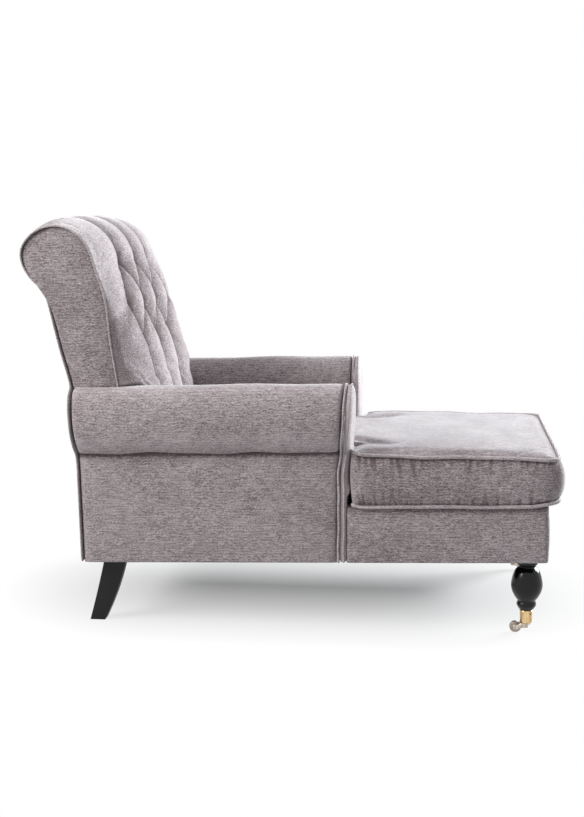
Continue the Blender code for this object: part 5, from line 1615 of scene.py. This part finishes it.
# Painted shade of the cushion: in its gathers, along its seams, over its top and on its boxing.
GATHER_SHADE = -240.0
SEAM_SHADE = -0.75
SEAM_SHADE_REACH = 0.0045
TOP_SHADE = -0.28
BOXING_SHADE = -0.07


def gathers(length):
    """Places along a seam where the boxing is gathered: (place, depth, width, slant, reach)."""
    found = []
    place = RNG.uniform(*GATHER_SPACING)
    while place < length:
        near_arm = math.exp(-place / GATHER_ARM_RUN)
        depth = RNG.uniform(*GATHER_DEPTHS) * (GATHER_FAR_SHARE + GATHER_NEAR_SHARE * near_arm)
        width = RNG.uniform(*GATHER_WIDTHS)
        slant = RNG.uniform(*GATHER_SLANTS)
        found.append((place, depth, width, slant, RNG.uniform(*GATHER_REACHES)))
        place += RNG.uniform(*GATHER_SPACING) * (1.0 - GATHER_CROWDING * near_arm)
    return found


def seam_heights(places):
    """Heights of the top and the bottom seam at each plan place."""
    top = np.array([top_height(x, y) for x, y in places[:, :2]])
    low = np.array([bottom_height(x, y) for x, y in places[:, :2]])
    return top, low


def gather(mesh):
    """Draws short creases into the boxing below its top welt and above its bottom one."""
    places = coordinates(mesh)
    normals = vertex_rows(mesh, "normal")
    shift = np.zeros(len(places))
    top, low = seam_heights(places)
    x, y, z = places.T
    inside = (z < top) & (z > low) & (np.abs(normals[:, 2]) < LEVEL_FACE)
    runs = (
        (inside & (y < -EAR_HALF + GATHER_BAND) & (x > EAR_X), x, EAR_X),
        (inside & (y > EAR_HALF - GATHER_BAND) & (x > EAR_X), x, EAR_X),
        (inside & (x > CUSHION_FRONT - GATHER_BAND), y, -EAR_HALF),
    )
    for chosen, axis, start in runs:
        along = axis[chosen] - start
        below_top = (top - z)[chosen]
        above_low = (z - low)[chosen]
        fade = np.minimum(1.0, below_top / GATHER_FADE)
        for from_seam, share in ((below_top, 1.0), (above_low, LOWER_GATHER_SHARE)):
            crease = np.zeros(len(along))
            for place, depth, width, slant, reach in gathers(EAR_HALF * 2):
                off = (along - place - slant * from_seam) / width
                crease += depth * np.exp(-(off**2)) * np.exp(-((from_seam / reach) ** 2))
            shift[chosen] += share * fade * crease
    set_coordinates(mesh, places - normals * shift[:, None])
    return shift


def cushion_painted_shade(mesh, creases):
    """Painted shade of the cushion: dark along its seams and in the gathers, over its top and a little on
    its boxing.
    """
    places = coordinates(mesh)
    top, low = seam_heights(places)
    edge = np.array([edge_distance(x, y) for x, y in places[:, :2]])
    to_seam = edge + np.minimum(np.abs(places[:, 2] - top), np.abs(places[:, 2] - low))
    upward = vertex_rows(mesh, "normal")[:, 2] > LEVEL_FACE
    panels = np.where(upward, TOP_SHADE, BOXING_SHADE)
    return SEAM_SHADE * np.exp(-to_seam / SEAM_SHADE_REACH) + GATHER_SHADE * creases + panels


# Legs

FRONT_LEG_TURNING = (
    (0.0250, 0.1900),
    (0.0251, 0.1730),
    (0.0243, 0.1712),
    (0.0226, 0.1690),
    (0.0208, 0.1668),
    (0.0204, 0.1650),
    (0.0214, 0.1636),
    (0.0238, 0.1613),
    (0.0292, 0.1550),
    (0.0341, 0.1425),
    (0.0369, 0.1300),
    (0.0380, 0.1200),
    (0.0370, 0.1100),
    (0.0338, 0.1000),
    (0.0284, 0.0900),
    (0.0228, 0.0824),
    (0.0216, 0.0796),
    (0.0222, 0.0772),
    (0.0233, 0.0745),
    (0.0236, 0.0715),
    (0.0230, 0.0684),
    (0.0211, 0.0649),
    (0.0186, 0.0610),
    (0.0168, 0.0586),
    (0.0162, 0.0574),
    (0.0120, 0.0573),
)
TURNING_LEVELS = 110
LEG_STEPS = 64


def upright_piece(name, mesh, finish, body, replaced=()):
    """A leg or castor piece, which stands upright and not raked with the chair."""
    add_piece(name, mesh, finish, body, replaced, in_body_frame=False)


def cup_centre(side):
    """Plan place of a castor's stem, which its cup and its leg share."""
    low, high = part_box(f"castor_cup_{side}")
    return (low.x + high.x) / 2, (low.y + high.y) / 2


def front_legs():
    """Turned legs: collar, neck, ball and a ring above the castor cup."""
    profile = smooth_line(FRONT_LEG_TURNING, TURNING_LEVELS)
    for side, _ in SIDES:
        mesh = loft(f"front_leg_wood_{side}", turned_rings(profile, LEG_STEPS, cup_centre(side)))
        replaced = [f"front_leg_{side}"]
        upright_piece(f"turned_leg_{side}", mesh, GLOSS_BLACK, "chair", replaced)


SABRE_LEVELS = 26
SABRE_TOP = 0.1630
SABRE_FOOT = 0.0383
SABRE_REAR_RUN = 0.0405
SABRE_REAR_BOW = 0.0013
SABRE_FRONT_RUN = 0.0570
SABRE_FRONT_BOW = 0.0057
SABRE_EDGE = 0.0028
SABRE_END_EDGE = 0.8 * SABRE_EDGE
SABRE_CORNER_ANGLES = np.linspace(0.0, math.pi / 2, 5)


def rounded_ring(x_low, x_high, y_low, y_high, z, edge):
    """A level rectangle with rounded corners."""
    ring = []
    corners = ((x_high, y_high, 0), (x_low, y_high, 1), (x_low, y_low, 2), (x_high, y_low, 3))
    for x, y, turn in corners:
        centre_x = x - edge if x == x_high else x + edge
        centre_y = y - edge if y == y_high else y + edge
        for angle in SABRE_CORNER_ANGLES:
            a = angle + turn * math.pi / 2
            ring.append((centre_x + edge * math.cos(a), centre_y + edge * math.sin(a), z))
    return ring


def rear_legs():
    """Sabre legs that kick back to the floor, with softened arrises."""
    for side, _ in SIDES:
        low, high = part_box(f"rear_leg_{side}")
        rings = []
        for share in np.linspace(0.0, 1.0, SABRE_LEVELS):
            bow = 4.0 * share * (1.0 - share)
            rear = low.x + SABRE_REAR_RUN * share + SABRE_REAR_BOW * bow
            ahead = low.x + SABRE_FOOT + SABRE_FRONT_RUN * share + SABRE_FRONT_BOW * bow
            edge = SABRE_EDGE if 0.0 < share < 1.0 else SABRE_END_EDGE
            rings.append(rounded_ring(rear, ahead, low.y, high.y, share * SABRE_TOP, edge))
        mesh = loft(f"rear_leg_wood_{side}", rings)
        replaced = [f"rear_leg_{side}"]
        upright_piece(f"sabre_leg_{side}", mesh, SATIN_BLACK, "chair", replaced)


# Castors

CUP_LIP = 0.0007
CASTOR_STEPS = 56
SCREW_STEPS = 20
SCREW_TURNING = ((0.0002, 0.0003), (0.0020, 0.0004), (0.0025, 0.0), (0.0025, -0.002))
SCREW_DROP = 0.0085
SCREW_SINK = 0.0006
SCREW_FACING = (0.72, 0.69)


def castor_cups():
    """Brass cups with a rolled lip and the screw that pins each to its leg."""
    for side, sign in SIDES:
        low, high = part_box(f"castor_cup_{side}")
        centre = cup_centre(side)
        radius = (high.x - low.x) / 2
        profile = [
            (radius - 0.0025, high.z),
            (radius - 0.0004, high.z),
            (radius + CUP_LIP, high.z - 0.0009),
            (radius + CUP_LIP, high.z - 0.0024),
            (radius - 0.0003, high.z - 0.0034),
            (radius - 0.0003, high.z - 0.012),
            (radius - 0.0007, low.z + 0.005),
            (radius - 0.0009, low.z + 0.0016),
            (radius - 0.0020, low.z + 0.0003),
            (radius - 0.008, low.z),
        ]
        mesh = loft(f"cup_metal_{side}", turned_rings(profile, CASTOR_STEPS, centre))
        upright_piece(f"brass_cup_{side}", mesh, BRASS, "chair", [f"castor_cup_{side}"])
        head = loft(f"cup_screw_metal_{side}", turned_rings(SCREW_TURNING, SCREW_STEPS, (0.0, 0.0)))
        facing = Vector((SCREW_FACING[0], sign * SCREW_FACING[1], 0.0)).normalized()
        spot = Vector((*centre, high.z - SCREW_DROP)) + facing * (radius - SCREW_SINK)
        head.transform(Matrix.Translation(spot) @ turned_to(facing))
        upright_piece(f"cup_screw_{side}", head, DARK_STEEL, "chair")


HORN_TOP_GAP = 0.0005
HORN_STEPS = 32
HORN_FRONT = 0.0052
HORN_BLOCK = (-0.0095, 0.0046)
HORN_BOSS = 0.0062
HORN_BOSS_ANGLES = np.linspace(math.radians(70), math.radians(290), 15)
HORN_COLLAR = ((0.0098, -0.0040), (0.0104, -0.0034), (0.0104, -0.0006), (0.0098, 0.0))
HORN_UPPER = ((-0.0195, 0.0205), (-0.0150, 0.0226))
HORN_LOWER = ((0.0052, 0.0150), (0.0040, 0.0136), (-0.0080, 0.0130), (-0.0160, 0.0105))
HORN_CHEEK_GAP = 0.0006
HORN_CHEEK = 0.0032
HORN_EDGE = 0.0008


def cheek_ring(y, inset, top, reach, trail):
    """Side outline of the horn, from the collar back round the axle boss, drawn in by an inset."""
    ring = [(HORN_FRONT - inset, y, top - inset), (HORN_UPPER[1][0], y, top - inset)]
    ring.extend((x, y, z - inset) for x, z in reversed(HORN_UPPER))
    boss = HORN_BOSS - inset
    for angle in HORN_BOSS_ANGLES:
        ring.append((-trail + boss * math.cos(angle), y, reach + boss * math.sin(angle)))
    ring.extend((x, y, z + inset) for x, z in reversed(HORN_LOWER))
    return ring


def castor_horn(side, stem, hub, half):
    """Cast horn: a collar under the cup and two curved cheeks that carry the axle."""
    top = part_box(f"castor_cup_{side}")[0].z - HORN_TOP_GAP
    trail = abs(hub.x - stem[0])
    turn = math.copysign(1.0, stem[0] - hub.x)
    bm = bmesh.new()
    inner = half + HORN_CHEEK_GAP
    outer = inner + HORN_CHEEK
    sections = (
        (inner, HORN_EDGE),
        (inner + HORN_EDGE, 0.0),
        (outer - HORN_EDGE, 0.0),
        (outer, HORN_EDGE),
    )
    for sign in (-1, 1):
        rings = [cheek_ring(sign * y, inset, top, hub.z, trail) for y, inset in sections]
        add_loft(bm, [[(turn * x, y, z) for x, y, z in ring] for ring in rings])
    low = HORN_LOWER[1][1]
    rear, front = HORN_BLOCK
    block = [(rear, low), (front, low), (front, top), (rear, top)]
    add_loft(bm, [[(turn * x, y, z) for x, z in block] for y in (-inner, 0.0, inner)])
    collar = [(radius, top + rise) for radius, rise in HORN_COLLAR]
    add_loft(bm, turned_rings(collar, HORN_STEPS, (0.0, 0.0)))
    mesh = mesh_from(f"horn_metal_{side}", bm)
    mesh.transform(Matrix.Translation((*stem, 0.0)))
    replaced = [f"castor_horn_{side}"]
    upright_piece(f"cast_horn_{side}", mesh, HORN_STEEL, f"castor_fork_{side}", replaced)


AXLE_STEPS = 24
AXLE_PROUD = 0.0038


def on_axle(name, half_turning, steps, hub):
    """A piece turned round the axle, the same on both sides of the hub."""
    mirrored = [(radius, -reach) for radius, reach in reversed(half_turning)]
    mesh = loft(name, turned_rings(half_turning + mirrored, steps, (0.0, 0.0)))
    mesh.transform(Matrix.Translation(hub) @ Matrix.Rotation(math.pi / 2, 4, "X"))
    return mesh


def castor_wheels():
    """Forks that trail behind their stems, with a wheel on a riveted axle."""
    for side, _ in SIDES:
        low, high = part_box(f"castor_wheel_{side}")
        hub = (low + high) / 2
        radius = (high.z - low.z) / 2
        half = (high.y - low.y) / 2
        tread = [
            (0.0022, half - 0.0003),
            (0.0045, half - 0.0002),
            (0.0052, half - 0.0012),
            (radius - 0.0030, half - 0.0013),
            (radius - 0.0018, half - 0.0003),
            (radius - 0.0006, half - 0.0010),
            (radius, half - 0.0026),
        ]
        wheel = on_axle(f"wheel_metal_{side}", tread, CASTOR_STEPS, hub)
        body = f"castor_roller_{side}"
        upright_piece(f"castor_tread_{side}", wheel, AGED_STEEL, body, [f"castor_wheel_{side}"])
        axle_half = half + AXLE_PROUD
        rivet = [
            (0.0003, axle_half),
            (0.0020, axle_half - 0.0004),
            (0.0026, axle_half - 0.0012),
            (0.0017, axle_half - 0.0016),
        ]
        axle = on_axle(f"axle_metal_{side}", rivet, AXLE_STEPS, hub)
        body = f"castor_fork_{side}"
        upright_piece(f"castor_rivet_{side}", axle, DARK_STEEL, body, [f"castor_axle_{side}"])
        castor_horn(side, cup_centre(side), hub, half)


# Hidden frame


def hidden_frame():
    """Timber and straps inside the upholstery keep their CAD shape."""
    for name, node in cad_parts.items():
        if node.hide_render or name.startswith("castor"):
            continue
        node.data.materials.clear()
        node.data.materials.append(JUTE if name == "seat_webbing" else TIMBER)


# Studio

FLOOR_HALF = 9.0
FLOOR_COLOUR = 0.54
FLOOR_SHADOW_HALF = (0.30, 0.0, 0.0)
FLOOR_SHADOW_MIDDLE = 0.05
FLOOR_FADE = 0.66
FLOOR_LIFT = 0.22
FLOOR_DROP = 0.0004
WORLD_LIGHT = 0.15
WHITE = (1.0, 1.0, 1.0, 1.0)


def studio_floor():
    """A pale paper floor that takes the shadow and fades to plain white away from the chair."""
    bm = bmesh.new()
    bmesh.ops.create_grid(bm, x_segments=2, y_segments=2, size=FLOOR_HALF)
    floor = bpy.data.objects.new("studio_floor", mesh_from("studio_floor", bm))
    floor.location = (0.0, FLOOR_SHADOW_MIDDLE, -FLOOR_DROP)
    bpy.context.scene.collection.objects.link(floor)
    paper = Finish("pale_floor", 0.9)
    paper.set("Base Color", (FLOOR_COLOUR, FLOOR_COLOUR, FLOOR_COLOUR, 1.0))
    paper.set("Specular IOR Level", 0.0)
    away = paper.add("ShaderNodeVectorMath", {"operation": "ABSOLUTE"}, {0: paper.place()})
    away = paper.add("ShaderNodeVectorMath", {"operation": "SUBTRACT"}, {0: away, 1: FLOOR_SHADOW_HALF})
    away = paper.add("ShaderNodeVectorMath", {"operation": "MAXIMUM"}, {0: away, 1: (0.0, 0.0, 0.0)})
    away = paper.add("ShaderNodeVectorMath", {"operation": "LENGTH"}, {0: away}, "Value")
    fade = (FLOOR_LIFT + away * (1.0 / FLOOR_FADE)).clamped()
    glow = paper.add("ShaderNodeEmission", {}, {"Strength": 1.0})
    lit = Field(paper, paper.shader.outputs[0])
    both = paper.add("ShaderNodeMixShader", {}, {0: fade * paper.looked_at(), 1: lit, 2: glow})
    paper.feed(paper.tree.nodes["Material Output"].inputs["Surface"], both)
    floor.data.materials.append(paper.material)


def studio_world():
    """A surround that looks white and lights the chair faintly."""
    world = bpy.data.worlds.new("studio")
    bpy.context.scene.world = world
    world.use_nodes = True
    surround = Nodes(world.node_tree)
    surround.tree.nodes.remove(surround.tree.nodes["Background"])
    faint = surround.add("ShaderNodeBackground", {}, {"Color": WHITE, "Strength": WORLD_LIGHT})
    backdrop = surround.add("ShaderNodeBackground", {}, {"Color": WHITE, "Strength": 1.0})
    both = surround.add("ShaderNodeMixShader", {}, {0: surround.looked_at(), 1: faint, 2: backdrop})
    surround.feed(surround.tree.nodes["World Output"].inputs["Surface"], both)


DAYLIGHT = (0.95, 1.0, 1.03)
NEUTRAL = (1.0, 1.0, 1.0)
LIGHTS = (
    ("overhead_softbox", (0.4, 0.2, 3.0), (0.0, 0.0, 0.3), 2.4, 26.0, DAYLIGHT),
    ("front_softbox", (2.8, 1.9, 1.5), (0.0, 0.0, 0.50), 1.6, 255.0, DAYLIGHT),
    ("side_softbox", (-3.4, -2.2, 3.1), (0.0, 0.0, 0.45), 2.2, 225.0, NEUTRAL),
)


def studio_lights():
    """Soft boxes above, in front and beside."""
    for name, place, aim, size, power, colour in LIGHTS:
        light = bpy.data.lights.new(name, "AREA")
        light.color = colour
        light.shape = "SQUARE"
        light.size = size
        light.energy = power
        lamp = bpy.data.objects.new(name, light)
        lamp.location = place
        lamp.rotation_euler = (Vector(aim) - Vector(place)).to_track_quat("-Z", "Y").to_euler()
        bpy.context.scene.collection.objects.link(lamp)


def studio_camera():
    """The photograph's view."""
    data = bpy.data.cameras.new("photograph_view")
    data.sensor_width = SENSOR_WIDTH
    data.lens = SENSOR_WIDTH * FOCAL_PIXELS / IMAGE_LONG_SIDE
    camera = bpy.data.objects.new("photograph_view", data)
    camera.location = CAMERA_PLACE
    camera.rotation_euler = (math.pi / 2 - CAMERA_PITCH, 0.0, CAMERA_YAW)
    bpy.context.scene.collection.objects.link(camera)
    bpy.context.scene.camera = camera


# Whole scene

back_pad()
tuft_buttons()
back_sides()
outside_back()
arm_rolls()
arm_facings()
arm_sides()
leg_rest_cover()
seat_deck()
dust_lining()
seat_cushion()
front_legs()
rear_legs()
castor_cups()
castor_wheels()
hidden_frame()
studio_floor()
studio_world()
studio_lights()
studio_camera()
bpy.context.scene.view_settings.view_transform = "Standard"
bpy.context.view_layer.update()
